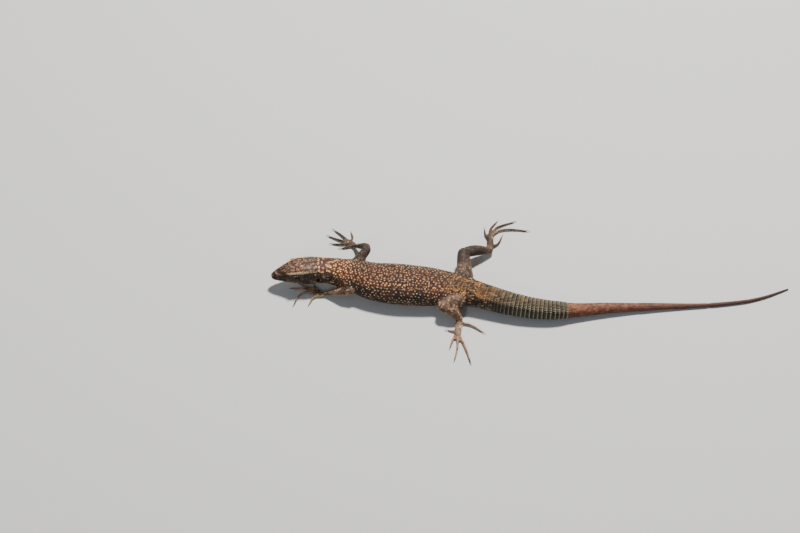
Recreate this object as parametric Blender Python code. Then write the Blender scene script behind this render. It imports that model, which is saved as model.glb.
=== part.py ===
"""Wall lizard basking flat on the floor: a life-size still model in named solids.

The head points to -X, the left side to -Y and the floor is z = 0. Every table and
size below is in millimetres. Each finished solid is scaled to metres at the end.
One spine curve, seen from above, carries the head, neck, trunk and tail. Each limb
is a chain of tapering tubes that is carved by the part it grows from, so that the
solids meet across an even hairline gap.
"""

import math

import bmesh
import bpy
from mathutils import Matrix, Vector

MM = 0.001                      # one millimetre in metres

# ---------------------------------------------------------------- driving sizes
GAP = 0.28                      # clearance at each cut between two solids
MOUTH_GAP = 0.2                 # clearance along the closed mouth
CLAW_GAP = 0.12                 # clearance between a digit and its claw

SNOUT_X = -43.6
NAPE_X = -25.5                  # head ends, neck begins
SHOULDER_X = -20.5              # neck ends, trunk begins
WAIST_X = 5.0                   # trunk is parted in front of the hips
VENT_X = 24.5                   # trunk ends, tail begins
TAIL_RINGED_X = 38.0
TAIL_BREAK_X = 56.0             # the old tail stops and the regrown tail begins
TAIL_MIDDLE_X = 80.0
TAIL_END_X = 104.0
TAIL_TIP_X = 131.2

# Sideways course of the spine seen from above: x, y
SPINE = [
    (-43.6, 3.4), (-36.0, 4.4), (-30.0, 5.1), (-25.5, 5.3), (-18.7, 4.3),
    (-13.6, 2.9), (-8.2, 1.2), (0.0, 0.1), (8.8, -0.7), (17.0, -1.6),
    (24.5, -3.4), (31.0, -5.6), (37.4, -7.6), (44.2, -9.1), (51.0, -9.8),
    (56.0, -9.6), (68.0, -8.2), (85.0, -6.9), (102.0, -6.0), (115.6, -4.4),
    (122.4, -2.6), (131.2, 1.2),
]

# Neck, trunk and tail: x, half width, top, bottom, roundness of the belly
BODY = [
    (-25.5, 4.6, 9.35, 2.0, 2.2),
    (-22.5, 4.8, 9.3, 1.5, 2.2),
    (-18.7, 5.4, 9.4, 0.8, 2.3),
    (-13.6, 6.2, 9.6, 0.2, 2.5),
    (-8.2, 7.0, 9.7, -0.06, 2.6),
    (0.0, 7.7, 9.7, -0.06, 2.6),
    (8.8, 7.3, 9.4, -0.06, 2.6),
    (17.0, 6.1, 8.9, -0.03, 2.4),
    (24.5, 4.8, 8.3, 0.05, 2.2),
    (30.6, 4.25, 7.9, -0.05, 2.1),
    (37.4, 3.9, 7.5, -0.05, 2.1),
    (44.2, 3.6, 6.9, -0.05, 2.1),
    (51.0, 3.25, 6.3, -0.05, 2.0),
    (54.6, 3.0, 5.8, -0.05, 2.0),
    (57.2, 2.6, 5.1, -0.05, 2.0),
    (68.0, 2.05, 4.0, -0.05, 2.0),
    (85.0, 1.3, 2.55, -0.05, 2.0),
    (102.0, 0.78, 1.5, -0.05, 2.0),
    (115.6, 0.64, 1.22, -0.04, 2.0),
    (124.0, 0.5, 0.96, -0.04, 2.0),
    (131.2, 0.3, 0.58, -0.02, 2.0),
]
BACK_ROUNDNESS = 2.1
WIDEST_AT = 0.48                # height of the widest line, as a share of the depth

# Head: x, top, crown edge half width and height, cheek half width and height,
# jaw half width and height, throat
HEAD = [
    (-25.5, 9.35, 2.9, 8.6, 4.6, 5.6, 3.5, 3.2, 2.0),
    (-28.0, 9.45, 3.1, 8.9, 4.95, 5.7, 3.75, 3.2, 2.0),
    (-30.5, 9.5, 3.3, 9.1, 5.1, 5.7, 3.8, 3.1, 2.15),
    (-33.5, 9.45, 3.35, 9.1, 4.6, 5.8, 3.45, 3.2, 2.45),
    (-35.5, 9.15, 3.2, 8.85, 3.95, 5.9, 3.0, 3.3, 2.7),
    (-37.5, 8.6, 2.55, 8.3, 3.2, 5.8, 2.55, 3.45, 3.0),
    (-39.5, 7.8, 1.9, 7.55, 2.5, 5.6, 2.05, 3.6, 3.25),
    (-41.3, 6.95, 1.35, 6.7, 1.9, 5.3, 1.55, 3.75, 3.45),
    (-42.6, 6.2, 0.9, 6.0, 1.3, 5.1, 1.1, 3.95, 3.7),
    (-43.3, 5.65, 0.5, 5.5, 0.8, 4.95, 0.65, 4.2, 4.1),
]
HEAD_CORNERS = 8                # outline corners round one head section
HEAD_STEPS = 3                  # points between two of those corners

# The closed mouth seen from the side: x, z from the snout to the mouth's corner,
# then down behind the jaw
MOUTH = [
    (-45.0, 4.62), (-42.5, 4.55), (-39.5, 4.38), (-36.0, 4.3), (-33.2, 4.45), (-31.2, 4.95),
]
JAW_BACK = [(-28.6, 4.2), (-27.2, 2.6), (-26.9, 0.0)]

EYE_X = -35.5
EYE_OUT = 2.5                   # eyeball's centre, sideways from the spine
EYE_Z = 7.2
EYE_RADIUS = 1.45
LID_RADIUS = 1.78
LID_OPENING = (1.28, 0.92)      # half length and half height between the lids
SOCKET_GAP = 0.13

EAR_X = -27.4
EAR_Z = 5.9
EAR_SIZE = (0.62, 0.75, 0.95)   # half length, depth and half height
NOSTRIL_X = -42.3
NOSTRIL_Z = 5.75
NOSTRIL_RADIUS = 0.24

# Limbs: centre line points (x, y, z, radius) of each length
LIMBS = {
    "foreleg_left": {
        "upper": [(-19.6, 2.0, 5.4, 2.0), (-17.8, -0.8, 5.4, 1.85), (-16.0, -2.9, 5.0, 1.5)],
        "lower": [(-15.9, -3.0, 4.9, 1.35), (-18.6, -2.7, 4.0, 1.5),
                  (-22.2, -1.8, 2.3, 1.15), (-25.0, -1.2, 1.2, 0.85)],
        "palm": [(-24.9, -1.2, 1.05, 0.85), (-26.6, -1.2, 0.72, 1.15), (-28.2, -1.0, 0.68, 1.05)],
        "digits": [
            [(-26.9, -0.3), (-28.0, 0.9), (-29.0, 2.4)],
            [(-27.8, -0.4), (-30.4, 1.4), (-33.3, 2.9)],
            [(-28.3, -0.7), (-31.9, 1.0), (-36.0, 1.3)],
            [(-28.3, -1.3), (-31.5, -0.4), (-34.2, -1.9), (-35.6, -5.1)],
            [(-27.5, -1.8), (-29.3, -2.7), (-30.4, -4.9)],
        ],
    },
    "foreleg_right": {
        "upper": [(-16.4, 5.6, 5.4, 2.0), (-13.6, 9.6, 6.5, 1.9), (-11.2, 12.6, 7.3, 1.6)],
        "lower": [(-11.0, 12.7, 7.4, 1.4), (-11.6, 14.8, 6.2, 1.5),
                  (-13.5, 17.3, 3.4, 1.15), (-15.1, 19.0, 1.3, 0.85)],
        "palm": [(-15.0, 18.9, 1.1, 0.85), (-16.4, 20.3, 0.72, 1.15), (-17.7, 21.4, 0.68, 1.05)],
        "digits": [
            [(-16.5, 19.8), (-18.1, 19.0), (-19.8, 18.8)],
            [(-17.6, 20.7), (-20.2, 20.3), (-22.9, 20.6)],
            [(-18.0, 21.3), (-20.8, 22.2), (-24.0, 23.8)],
            [(-17.8, 21.8), (-19.7, 24.0), (-22.3, 26.4)],
            [(-16.8, 21.4), (-16.2, 23.2), (-16.6, 25.0)],
        ],
    },
    "hindleg_left": {
        "upper": [(22.6, -4.0, 4.6, 2.9), (18.6, -7.2, 4.9, 2.8), (14.5, -9.6, 5.1, 2.2)],
        "lower": [(14.6, -9.9, 4.9, 1.9), (17.6, -10.9, 4.0, 2.0), (20.0, -12.2, 1.8, 1.3)],
        "palm": [(19.9, -12.2, 1.4, 1.1), (19.6, -15.4, 0.85, 1.2), (19.3, -18.4, 0.7, 1.1)],
        "digits": [
            [(18.9, -16.4), (17.7, -16.7), (16.4, -16.4)],
            [(18.7, -18.2), (17.6, -20.4), (16.8, -23.0)],
            [(19.2, -18.6), (19.2, -23.4), (18.2, -28.2)],
            [(19.8, -18.4), (21.8, -23.6), (23.3, -29.2)],
            [(20.5, -13.4), (24.0, -14.3), (27.4, -16.8)],
        ],
    },
    "hindleg_right": {
        "upper": [(22.4, -0.8, 4.6, 3.0), (21.8, 5.0, 5.2, 2.8), (21.4, 12.4, 5.6, 2.15)],
        "lower": [(21.5, 12.8, 5.5, 1.9), (25.6, 14.8, 4.2, 2.0), (30.6, 16.6, 1.8, 1.3)],
        "palm": [(30.7, 16.8, 1.4, 1.1), (30.8, 20.4, 0.85, 1.15), (31.0, 23.8, 0.7, 1.1)],
        "digits": [
            [(30.4, 22.2), (29.2, 24.4), (29.0, 26.5)],
            [(30.5, 23.9), (31.0, 27.0), (32.9, 29.8)],
            [(31.0, 24.2), (33.2, 27.7), (38.6, 30.0)],
            [(31.5, 23.9), (34.0, 26.3), (38.5, 26.8), (43.0, 26.3)],
            [(31.6, 19.2), (33.6, 20.6), (34.7, 23.4)],
        ],
    },
}
PALM_FLATNESS = 0.62            # palm and sole height as a share of their width
DIGIT_RADIUS = (0.47, 0.33)     # at the root and at the tip
KNUCKLE_RISE = 0.3              # height of a digit's middle over its lying height
CLAW_LENGTH = {"foreleg": 0.95, "hindleg": 1.1}
CLAW_RADIUS = (0.2, 0.05)
CLAW_TIP_Z = 0.12

BODY_SIDES = 24
TAIL_SIDES = 16
LIMB_SIDES = 12
DIGIT_SIDES = 6
CLAW_SIDES = 5

COLOURS = {
    "head": (0.19, 0.11, 0.07),
    "neck": (0.22, 0.12, 0.075),
    "trunk": (0.25, 0.13, 0.08),
    "tail_old": (0.17, 0.14, 0.075),
    "tail_new": (0.38, 0.15, 0.09),
    "limb": (0.2, 0.13, 0.085),
    "claw": (0.06, 0.04, 0.03),
    "eye": (0.02, 0.014, 0.01),
}


# ---------------------------------------------------------------- shared helpers
def smooth(table, x, column=1):
    """Read one column of a table sorted by its first, with a smooth cubic between rows."""
    rows = sorted(table)
    if x <= rows[0][0]:
        return rows[0][column]
    if x >= rows[-1][0]:
        return rows[-1][column]
    index = next(i for i in range(len(rows) - 1) if rows[i + 1][0] >= x)

    def slope(i):
        if i == 0 or i == len(rows) - 1:
            return 0.0 if len(rows) < 3 else one_sided(i)
        before = (rows[i][column] - rows[i - 1][column]) / (rows[i][0] - rows[i - 1][0])
        after = (rows[i + 1][column] - rows[i][column]) / (rows[i + 1][0] - rows[i][0])
        if before * after <= 0:
            return 0.0
        return 2 * before * after / (before + after)

    def one_sided(i):
        j = 1 if i == 0 else len(rows) - 2
        return (rows[j][column] - rows[i][column]) / (rows[j][0] - rows[i][0])

    width = rows[index + 1][0] - rows[index][0]
    t = (x - rows[index][0]) / width
    start, end = rows[index][column], rows[index + 1][column]
    rise = (2 * t ** 3 - 3 * t ** 2 + 1) * start + (3 * t ** 2 - 2 * t ** 3) * end
    return rise + width * ((t ** 3 - 2 * t ** 2 + t) * slope(index) + (t ** 3 - t ** 2) * slope(index + 1))


def catmull(points, steps):
    """Points of a smooth curve through the given vectors, open at both ends."""
    ends = [points[0] * 2 - points[1]] + points + [points[-1] * 2 - points[-2]]
    curve = []
    for before, start, end, after in zip(ends, ends[1:], ends[2:], ends[3:]):
        for step in range(steps):
            t = step / steps
            curve.append(0.5 * (2 * start + (end - before) * t
                                + (2 * before - 5 * start + 4 * end - after) * t ** 2
                                + (3 * start - before - 3 * end + after) * t ** 3))
    return curve + [points[-1]]


def spine_frame(x):
    """Spine point on the floor, the unit vector along it towards the tail and the one to its right."""
    step = 0.05
    rise = (smooth(SPINE, x + step) - smooth(SPINE, x - step)) / (2 * step)
    if x <= SNOUT_X + step:
        rise = 0.12
    along = Vector((1.0, rise, 0.0)).normalized()
    return Vector((x, smooth(SPINE, x), 0.0)), along, Vector((-along.y, along.x, 0.0))


def material(name, colour, roughness=0.55):
    paint = bpy.data.materials.new(name)
    paint.use_nodes = True
    shader = paint.node_tree.nodes["Principled BSDF"]
    shader.inputs["Base Color"].default_value = (*colour, 1.0)
    shader.inputs["Roughness"].default_value = roughness
    shader.inputs["Metallic"].default_value = 0.0
    return paint


def as_object(name, bm):
    """Turn a bmesh into an object whose faces point out."""
    bmesh.ops.recalc_face_normals(bm, faces=bm.faces)
    mesh = bpy.data.meshes.new(name)
    bm.to_mesh(mesh)
    bm.free()
    piece = bpy.data.objects.new(name, mesh)
    bpy.context.collection.objects.link(piece)
    return piece


def tube(name, rings, start=None, end=None):
    """Closed skin over a row of rings, each end capped round a centre point."""
    bm = bmesh.new()
    loops = [[bm.verts.new(point) for point in ring] for ring in rings]
    sides = len(loops[0])
    for near, far in zip(loops, loops[1:]):
        for k in range(sides):
            bm.faces.new((near[k], near[(k + 1) % sides], far[(k + 1) % sides], far[k]))
    for loop, centre in ((loops[0], start), (loops[-1], end)):
        middle = centre or sum((v.co for v in loop), Vector()) / sides
        hub = bm.verts.new(middle)
        for k in range(sides):
            bm.faces.new((loop[k], loop[(k + 1) % sides], hub))
    return as_object(name, bm)


def combine(piece, tool, operation):
    """Add a tool solid to a piece, take it away or keep the shared part, and drop the tool."""
    modifier = piece.modifiers.new(operation, "BOOLEAN")
    modifier.operation = operation
    modifier.solver = "EXACT"
    modifier.object = tool
    graph = bpy.context.evaluated_depsgraph_get()
    result = bpy.data.meshes.new_from_object(piece.evaluated_get(graph))
    piece.modifiers.clear()
    before = piece.data
    piece.data = result
    bpy.data.meshes.remove(before)
    bpy.data.objects.remove(tool)


def ellipsoid(name, centre, half_sizes, axis, segments=13, rings=8, turn=0.0):
    """Ball stretched along the body, along a sideways axis and up; turn shifts its facets."""
    along = Vector((axis.y, -axis.x, 0.0))
    columns = Matrix((along * half_sizes[0], axis * half_sizes[1], Vector((0, 0, half_sizes[2]))))
    facets = Matrix.Rotation(turn, 4, "Z") @ Matrix.Rotation(turn, 4, "X")
    place = Matrix.Translation(centre) @ columns.transposed().to_4x4() @ facets
    bm = bmesh.new()
    bmesh.ops.create_uvsphere(bm, u_segments=segments, v_segments=rings, radius=1.0, matrix=place)
    return as_object(name, bm)


def flatten_on_floor(piece):
    """Cut away whatever dips under the floor, which leaves small flats at z = 0."""
    low, high = bounds(piece)
    if low.z >= 0:
        return
    bm = bmesh.new()
    size = high - low + Vector((2, 2, 2))
    centre = Vector(((low.x + high.x) / 2, (low.y + high.y) / 2, -size.z / 2))
    bmesh.ops.create_cube(bm, size=1.0, matrix=Matrix.Translation(centre) @ Matrix.Diagonal((*size, 1)))
    combine(piece, as_object("floor_cutter", bm), "DIFFERENCE")


def bounds(piece):
    points = [vertex.co for vertex in piece.data.vertices]
    low = Vector([min(p[axis] for p in points) for axis in range(3)])
    high = Vector([max(p[axis] for p in points) for axis in range(3)])
    return low, high


def finish(piece, paint):
    """Weld stray points, scale to metres, shade smooth and give the piece its material."""
    bm = bmesh.new()
    bm.from_mesh(piece.data)
    bmesh.ops.remove_doubles(bm, verts=bm.verts, dist=0.0005)
    bmesh.ops.dissolve_degenerate(bm, edges=bm.edges, dist=0.0003)
    bmesh.ops.triangulate(bm, faces=bm.faces)
    bmesh.ops.scale(bm, vec=(MM, MM, MM), verts=bm.verts)
    bm.to_mesh(piece.data)
    bm.free()
    piece.data.materials.clear()
    piece.data.materials.append(paint)
    piece.data.shade_smooth()
    piece.data.set_sharp_from_angle(angle=math.radians(50))
    return piece


# ---------------------------------------------------------------- neck, trunk and tail
def body_ring(x, sides, grow=0.0):
    """Section of the body at x: a rounded back over a flatter belly."""
    centre, along, right = spine_frame(x)
    half = smooth(BODY, x, 1) + grow
    top = smooth(BODY, x, 2) + grow
    bottom = smooth(BODY, x, 3) - grow
    belly = smooth(BODY, x, 4)
    middle = bottom + (top - bottom) * WIDEST_AT
    ring = []
    for k in range(sides):
        turn = 2 * math.pi * k / sides
        c, s = math.cos(turn), math.sin(turn)
        power = BACK_ROUNDNESS if s >= 0 else belly
        wide = math.copysign(abs(c) ** (2 / power), c) * half
        high = abs(s) ** (2 / power) * ((top - middle) if s >= 0 else (bottom - middle))
        ring.append(centre + right * wide + Vector((0, 0, middle + high)))
    return ring


def body_length(name, start, end, count, sides, grow=0.0, tip=False):
    """One length of the body between two cuts."""
    inset = GAP / 2 if grow == 0.0 else 0.0
    first, last = start + inset, end if tip else end - inset
    places = [first + (last - first) * k / (count - 1) for k in range(count)]
    rings = [body_ring(x, sides, grow) for x in places]
    hub = None
    if tip:
        centre, along, right = spine_frame(last)
        hub = centre + along * 0.3 + Vector((0, 0, smooth(BODY, last, 2) / 2))
    return tube(name, rings, end=hub)


def build_body():
    """Neck, two trunk lengths and five tail lengths."""
    lengths = [
        ("neck", NAPE_X, SHOULDER_X, 5, BODY_SIDES, "neck"),
        ("trunk_front", SHOULDER_X, WAIST_X, 12, BODY_SIDES, "trunk"),
        ("trunk_back", WAIST_X, VENT_X, 9, BODY_SIDES, "trunk"),
        ("tail_base", VENT_X, TAIL_RINGED_X, 7, TAIL_SIDES, "tail_old"),
        ("tail_ringed", TAIL_RINGED_X, TAIL_BREAK_X, 8, TAIL_SIDES, "tail_old"),
        ("tail_regrown_root", TAIL_BREAK_X, TAIL_MIDDLE_X, 8, 14, "tail_new"),
        ("tail_regrown_middle", TAIL_MIDDLE_X, TAIL_END_X, 7, 12, "tail_new"),
        ("tail_tip", TAIL_END_X, TAIL_TIP_X, 11, 8, "tail_new"),
    ]
    for name, start, end, count, sides, colour in lengths:
        piece = body_length(name, start, end, count, sides, tip=(name == "tail_tip"))
        flatten_on_floor(piece)
        finish(piece, material(name, COLOURS[colour]))


# ---------------------------------------------------------------- head
def head_ring(x):
    """Section of the head at x, rounded through eight corners from the crown to the throat."""
    centre, along, right = spine_frame(x)
    top, edge, edge_z, cheek, cheek_z, jaw, jaw_z, throat = (smooth(HEAD, x, i) for i in range(1, 9))
    corners = [(0, top), (edge, edge_z), (cheek, cheek_z), (jaw, jaw_z),
               (0, throat), (-jaw, jaw_z), (-cheek, cheek_z), (-edge, edge_z)]
    flat = [Vector((y, z)) for y, z in corners]
    looped = [flat[-1]] + flat + flat[:2]
    points = catmull(looped, HEAD_STEPS)[HEAD_STEPS:HEAD_STEPS * (HEAD_CORNERS + 1)]
    return [centre + right * p.x + Vector((0, 0, p.y)) for p in points]


def head_solid(name):
    """The whole head with its jaw, from the nape to the snout."""
    rear, front = NAPE_X - GAP / 2, HEAD[-1][0]
    share = [0, 0.1, 0.2, 0.3, 0.39, 0.48, 0.56, 0.64, 0.72, 0.8, 0.87, 0.93, 0.97, 1.0]
    rings = [head_ring(rear + (front - rear) * s) for s in share]
    tip, along, right = spine_frame(SNOUT_X)
    return tube(name, rings, end=tip + Vector((0, 0, 4.85)))


def jaw_wedge(name, grow=0.0):
    """Prism below the mouth line and ahead of the jaw's hinge, across the whole head."""
    curve = catmull([Vector((x, z + grow)) for x, z in MOUTH], 2)
    back = [Vector((x + grow, z + grow)) for x, z in JAW_BACK]
    outline = curve + back + [Vector((-45.0, 0.0))]
    bm = bmesh.new()
    near = [bm.verts.new((p.x, -5.0, p.y)) for p in outline]
    far = [bm.verts.new((p.x, 15.0, p.y)) for p in outline]
    bm.faces.new(near)
    bm.faces.new(far)
    for k in range(len(outline)):
        n = (k + 1) % len(outline)
        bm.faces.new((near[k], near[n], far[n], far[k]))
    return as_object(name, bm)


def build_head():
    """Skull with lids, ears and nostrils, the lower jaw and the two eyeballs."""
    head = head_solid("head")
    centre, along, right = spine_frame(EYE_X)
    eyes = {"left": -right, "right": right}
    spots = {side: centre + out * EYE_OUT + Vector((0, 0, EYE_Z)) for side, out in eyes.items()}
    for side, out in eyes.items():
        combine(head, ellipsoid("lids", spots[side], (LID_RADIUS,) * 3, out, turn=0.08), "UNION")
    for side, out in eyes.items():
        opening = (LID_OPENING[0], 1.2, LID_OPENING[1])
        combine(head, ellipsoid("opening", spots[side] + out * 1.6, opening, out, turn=0.13), "DIFFERENCE")
        socket = EYE_RADIUS + SOCKET_GAP
        combine(head, ellipsoid("socket", spots[side], (socket,) * 3, out, 11, 7, 0.31), "DIFFERENCE")
        ball = ellipsoid("eye_" + side, spots[side], (EYE_RADIUS,) * 3, out, 11, 7, 0.31)
        finish(ball, material("eye_" + side, COLOURS["eye"], 0.12))
    for x, z, size, share in ((EAR_X, EAR_Z, EAR_SIZE, 1.0),
                              (NOSTRIL_X, NOSTRIL_Z, (NOSTRIL_RADIUS,) * 3, 0.9)):
        place, along, right = spine_frame(x)
        for out in (-right, right):
            spot = place + out * smooth(HEAD, x, 4) * share + Vector((0, 0, z))
            combine(head, ellipsoid("recess", spot, size, out, 10, 6, 0.2), "DIFFERENCE")
    combine(head, jaw_wedge("jaw_space", MOUTH_GAP), "DIFFERENCE")
    finish(head, material("head", COLOURS["head"]))
    jaw = head_solid("lower_jaw")
    combine(jaw, jaw_wedge("jaw_shape"), "INTERSECT")
    finish(jaw, material("lower_jaw", COLOURS["head"]))


# ---------------------------------------------------------------- limbs
def limb_rings(path, sides, steps, flatness=1.0, grow=0.0):
    """Rings along a limb with a rounded end ring at each end."""
    curve = catmull([Vector(point) for point in path], steps)
    centres = [Vector(point[:3]) for point in curve]
    radii = [point[3] + grow for point in curve]
    rings = []
    for i, (centre, radius) in enumerate(zip(centres, radii)):
        ahead = centres[min(i + 1, len(centres) - 1)] - centres[max(i - 1, 0)]
        along = ahead.normalized()
        side = Vector((0, 0, 1)).cross(along).normalized()
        up = along.cross(side)
        rings.append((centre, along, side, up, radius))
    first, last = rings[0], rings[-1]
    rounded = [end_ring(first, -0.7)] + rings + [end_ring(last, 0.7)]
    shapes = []
    for centre, along, side, up, radius in rounded:
        shape = []
        for k in range(sides):
            turn = 2 * math.pi * (k + 0.5) / sides
            high = radius * flatness + (grow * (1 - flatness))
            shape.append(centre + side * math.cos(turn) * radius + up * math.sin(turn) * high)
        shapes.append(shape)
    start = first[0] - first[1] * first[4]
    end = last[0] + last[1] * last[4]
    return shapes, start, end


def end_ring(ring, share):
    """The shrunken ring that rounds off a limb's end."""
    centre, along, side, up, radius = ring
    return (centre + along * radius * share, along, side, up, radius * math.sqrt(1 - share ** 2))


def limb_solid(name, path, sides=LIMB_SIDES, steps=3, flatness=1.0, grow=0.0):
    rings, start, end = limb_rings(path, sides, steps, flatness, grow)
    return tube(name, rings, start, end)


def digit_path(points):
    """Give a digit its heights: lifted off the palm, arched at the knuckle, flat at the tip."""
    root, tip = DIGIT_RADIUS
    path = []
    for i, (x, y) in enumerate(points):
        share = i / (len(points) - 1)
        radius = root + (tip - root) * share
        lying = radius - 0.02
        path.append((x, y, lying + KNUCKLE_RISE * math.sin(math.pi * (0.25 + 0.75 * share)), radius))
    return path


def claw_solid(name, points, length):
    """Curved tapering claw that goes on from a digit's tip and sinks towards the floor."""
    tip_radius = DIGIT_RADIUS[1]
    end, before = Vector(points[-1]), Vector(points[-2])
    ahead = (end - before).normalized()
    root = end + ahead * (tip_radius + CLAW_GAP)
    path = []
    for share in (0.0, 0.55, 1.0):
        spot = root + ahead * (CLAW_RADIUS[0] * 0.7 + length * share)
        height = tip_radius + 0.06 + (CLAW_TIP_Z - tip_radius - 0.06) * share ** 2
        path.append((spot.x, spot.y, height, CLAW_RADIUS[0] + (CLAW_RADIUS[1] - CLAW_RADIUS[0]) * share))
    return limb_solid(name, path, CLAW_SIDES, 1)


def body_cutter():
    """The trunk and tail base, grown by the gap, to carve the limbs that rise from them."""
    return body_length("body_cutter", NAPE_X, TAIL_RINGED_X, 26, BODY_SIDES, GAP)


def build_limb(limb):
    """Upper and lower length, foot with five digits and five claws."""
    parts = LIMBS[limb]
    kind, side = limb.split("_")
    upper = limb_solid(limb + "_upper", parts["upper"])
    combine(upper, body_cutter(), "DIFFERENCE")
    lower = limb_solid(limb + "_lower", parts["lower"])
    combine(lower, body_cutter(), "DIFFERENCE")
    combine(lower, limb_solid("upper_cutter", parts["upper"], grow=GAP), "DIFFERENCE")
    foot = limb_solid(limb + "_foot", parts["palm"], 10, 2, PALM_FLATNESS)
    for points in parts["digits"]:
        combine(foot, limb_solid("digit", digit_path(points), DIGIT_SIDES, 2), "UNION")
    combine(foot, limb_solid("lower_cutter", parts["lower"], grow=GAP), "DIFFERENCE")
    flatten_on_floor(foot)
    for piece in (upper, lower, foot):
        finish(piece, material(piece.name, COLOURS["limb"]))
    for number, points in enumerate(parts["digits"], 1):
        claw = claw_solid(f"claw_{kind}_{side}_{number}", points, CLAW_LENGTH[kind])
        finish(claw, material(claw.name, COLOURS["claw"], 0.35))


def main():
    for leftover in list(bpy.data.objects):
        bpy.data.objects.remove(leftover)
    build_body()
    build_head()
    for limb in LIMBS:
        build_limb(limb)
    for piece in bpy.data.objects:
        print(piece.name, len(piece.data.polygons))


main()
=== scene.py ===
# %% [markdown]
# # A wall lizard, scale by scale
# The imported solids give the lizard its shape, pose and size. Here they become an animal:
# one seamless skin is stretched over them, and small solid scales are laid on the skin in
# the rows in which they grow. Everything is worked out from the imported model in
# millimetres, because a scale is less than half a millimetre long, and each finished mesh
# is scaled to metres at the end.

# %% The frame
import itertools
import math
import time

import bmesh
import bpy
import numpy as np
from mathutils import Matrix, Vector
from mathutils.bvhtree import BVHTree
from mathutils.kdtree import KDTree


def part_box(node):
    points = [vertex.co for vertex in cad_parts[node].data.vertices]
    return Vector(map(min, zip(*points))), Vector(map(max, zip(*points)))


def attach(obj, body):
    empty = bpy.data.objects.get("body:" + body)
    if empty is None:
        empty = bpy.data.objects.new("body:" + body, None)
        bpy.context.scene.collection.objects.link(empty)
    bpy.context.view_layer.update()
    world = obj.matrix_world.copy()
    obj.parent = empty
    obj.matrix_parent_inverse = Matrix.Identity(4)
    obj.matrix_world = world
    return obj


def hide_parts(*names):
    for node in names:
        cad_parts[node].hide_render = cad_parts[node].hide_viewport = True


began = time.perf_counter()
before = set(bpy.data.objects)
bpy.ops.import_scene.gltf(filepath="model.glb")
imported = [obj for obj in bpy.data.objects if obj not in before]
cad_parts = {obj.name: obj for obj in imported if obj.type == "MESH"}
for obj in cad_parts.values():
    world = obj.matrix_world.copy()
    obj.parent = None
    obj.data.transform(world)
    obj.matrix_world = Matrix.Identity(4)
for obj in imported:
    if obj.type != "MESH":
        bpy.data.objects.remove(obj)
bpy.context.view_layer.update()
MM = 0.001                      # one millimetre in metres
UP = Vector((0, 0, 1))
ROOT = "root"                   # the still model has this one body
LIMBS = ["foreleg_left", "foreleg_right", "hindleg_left", "hindleg_right"]
HEAD_NODES = ["head", "lower_jaw"]
TRUNK_NODES = [
    "neck", "trunk_front", "trunk_back", "tail_base", "tail_ringed",
    "tail_regrown_root", "tail_regrown_middle", "tail_tip",
]
LIMB_NODES = [f"{limb}_{part}" for limb in LIMBS for part in ("upper", "lower", "foot")]
FLESH = HEAD_NODES + TRUNK_NODES + LIMB_NODES
CLAWS = [f"claw_{limb}_{digit}" for limb in LIMBS for digit in range(1, 6)]


def box_mm(node):
    """Lowest and highest corner of a node in millimetres."""
    low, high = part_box(node)
    return Vector(low) / MM, Vector(high) / MM


def centre_of(node):
    low, high = box_mm(node)
    return (low + high) / 2


def note(text):
    print(f"{time.perf_counter() - began:5.1f} s  {text}")


note(f"{len(FLESH)} nodes of flesh, {len(CLAWS)} claws, 2 eyes")

# %% [markdown]
# ## Camera, light and floor
# The lizard was seen on a steep wall from the front and above. Laid on the floor, the same
# view looks down at it from its left side at 52 degrees. The lens is long, because a shy
# animal is seen from a distance, so there is little perspective. The sun stands high
# behind the animal, which leaves its near flank in the shade. A large soft sky fills that
# shade, as a white studio ceiling would.

# %% Camera, light and floor
VIEW_ELEVATION = math.radians(52)
VIEW_WIDTH = 272.0 * MM         # width of the view across the animal
LENS = 150.0
SENSOR = 36.0
FLOOR_SIDE = 6.0
VIEW_DROP = 11.17 * MM          # the view's centre lies this far behind the origin


def link(thing):
    bpy.context.collection.objects.link(thing)
    return thing


def aim(thing, target):
    """Turn a camera or lamp to look at a point."""
    thing.rotation_euler = (Vector(target) - thing.location).to_track_quat("-Z", "Y").to_euler()


camera = link(bpy.data.objects.new("camera", bpy.data.cameras.new("camera")))
camera.data.lens = LENS
camera.data.sensor_width = SENSOR
camera.data.clip_start = 0.01
camera.data.clip_end = 20.0
look_at = Vector((0.0, VIEW_DROP, 0.0))
away = LENS / SENSOR * VIEW_WIDTH
camera.location = look_at + away * Vector((0, -math.cos(VIEW_ELEVATION), math.sin(VIEW_ELEVATION)))
aim(camera, look_at)
bpy.context.scene.camera = camera
note(f"camera {away:.2f} m away, view {VIEW_WIDTH / MM:.0f} mm wide")


def area_light(name, place, size, watts, colour):
    lamp = bpy.data.lights.new(name, "AREA")
    lamp.shape = "DISK"
    lamp.size = size
    lamp.energy = watts
    lamp.color = colour
    holder = link(bpy.data.objects.new(name, lamp))
    holder.location = place
    aim(holder, (0, 0, 0))


area_light("key_behind", (0.15, 0.38, 0.76), 0.12, 18.0, (1.0, 0.955, 0.88))
area_light("fill_front", (-0.35, -0.75, 0.55), 0.32, 2.1, (0.86, 0.92, 1.0))
world = bpy.data.worlds.new("studio_air")
world.use_nodes = True
world.node_tree.nodes["Background"].inputs["Color"].default_value = (0.86, 0.91, 1.0, 1.0)
world.node_tree.nodes["Background"].inputs["Strength"].default_value = 0.23
bpy.context.scene.world = world


def plain_floor():
    bm = bmesh.new()
    bmesh.ops.create_grid(bm, x_segments=1, y_segments=1, size=FLOOR_SIDE / 2)
    mesh = bpy.data.meshes.new("floor")
    bm.to_mesh(mesh)
    bm.free()
    paint = bpy.data.materials.new("floor_paper")
    paint.use_nodes = True
    shader = paint.node_tree.nodes["Principled BSDF"]
    shader.inputs["Base Color"].default_value = (0.50, 0.51, 0.52, 1.0)
    shader.inputs["Roughness"].default_value = 0.85
    mesh.materials.append(paint)
    link(bpy.data.objects.new("floor", mesh))


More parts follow.
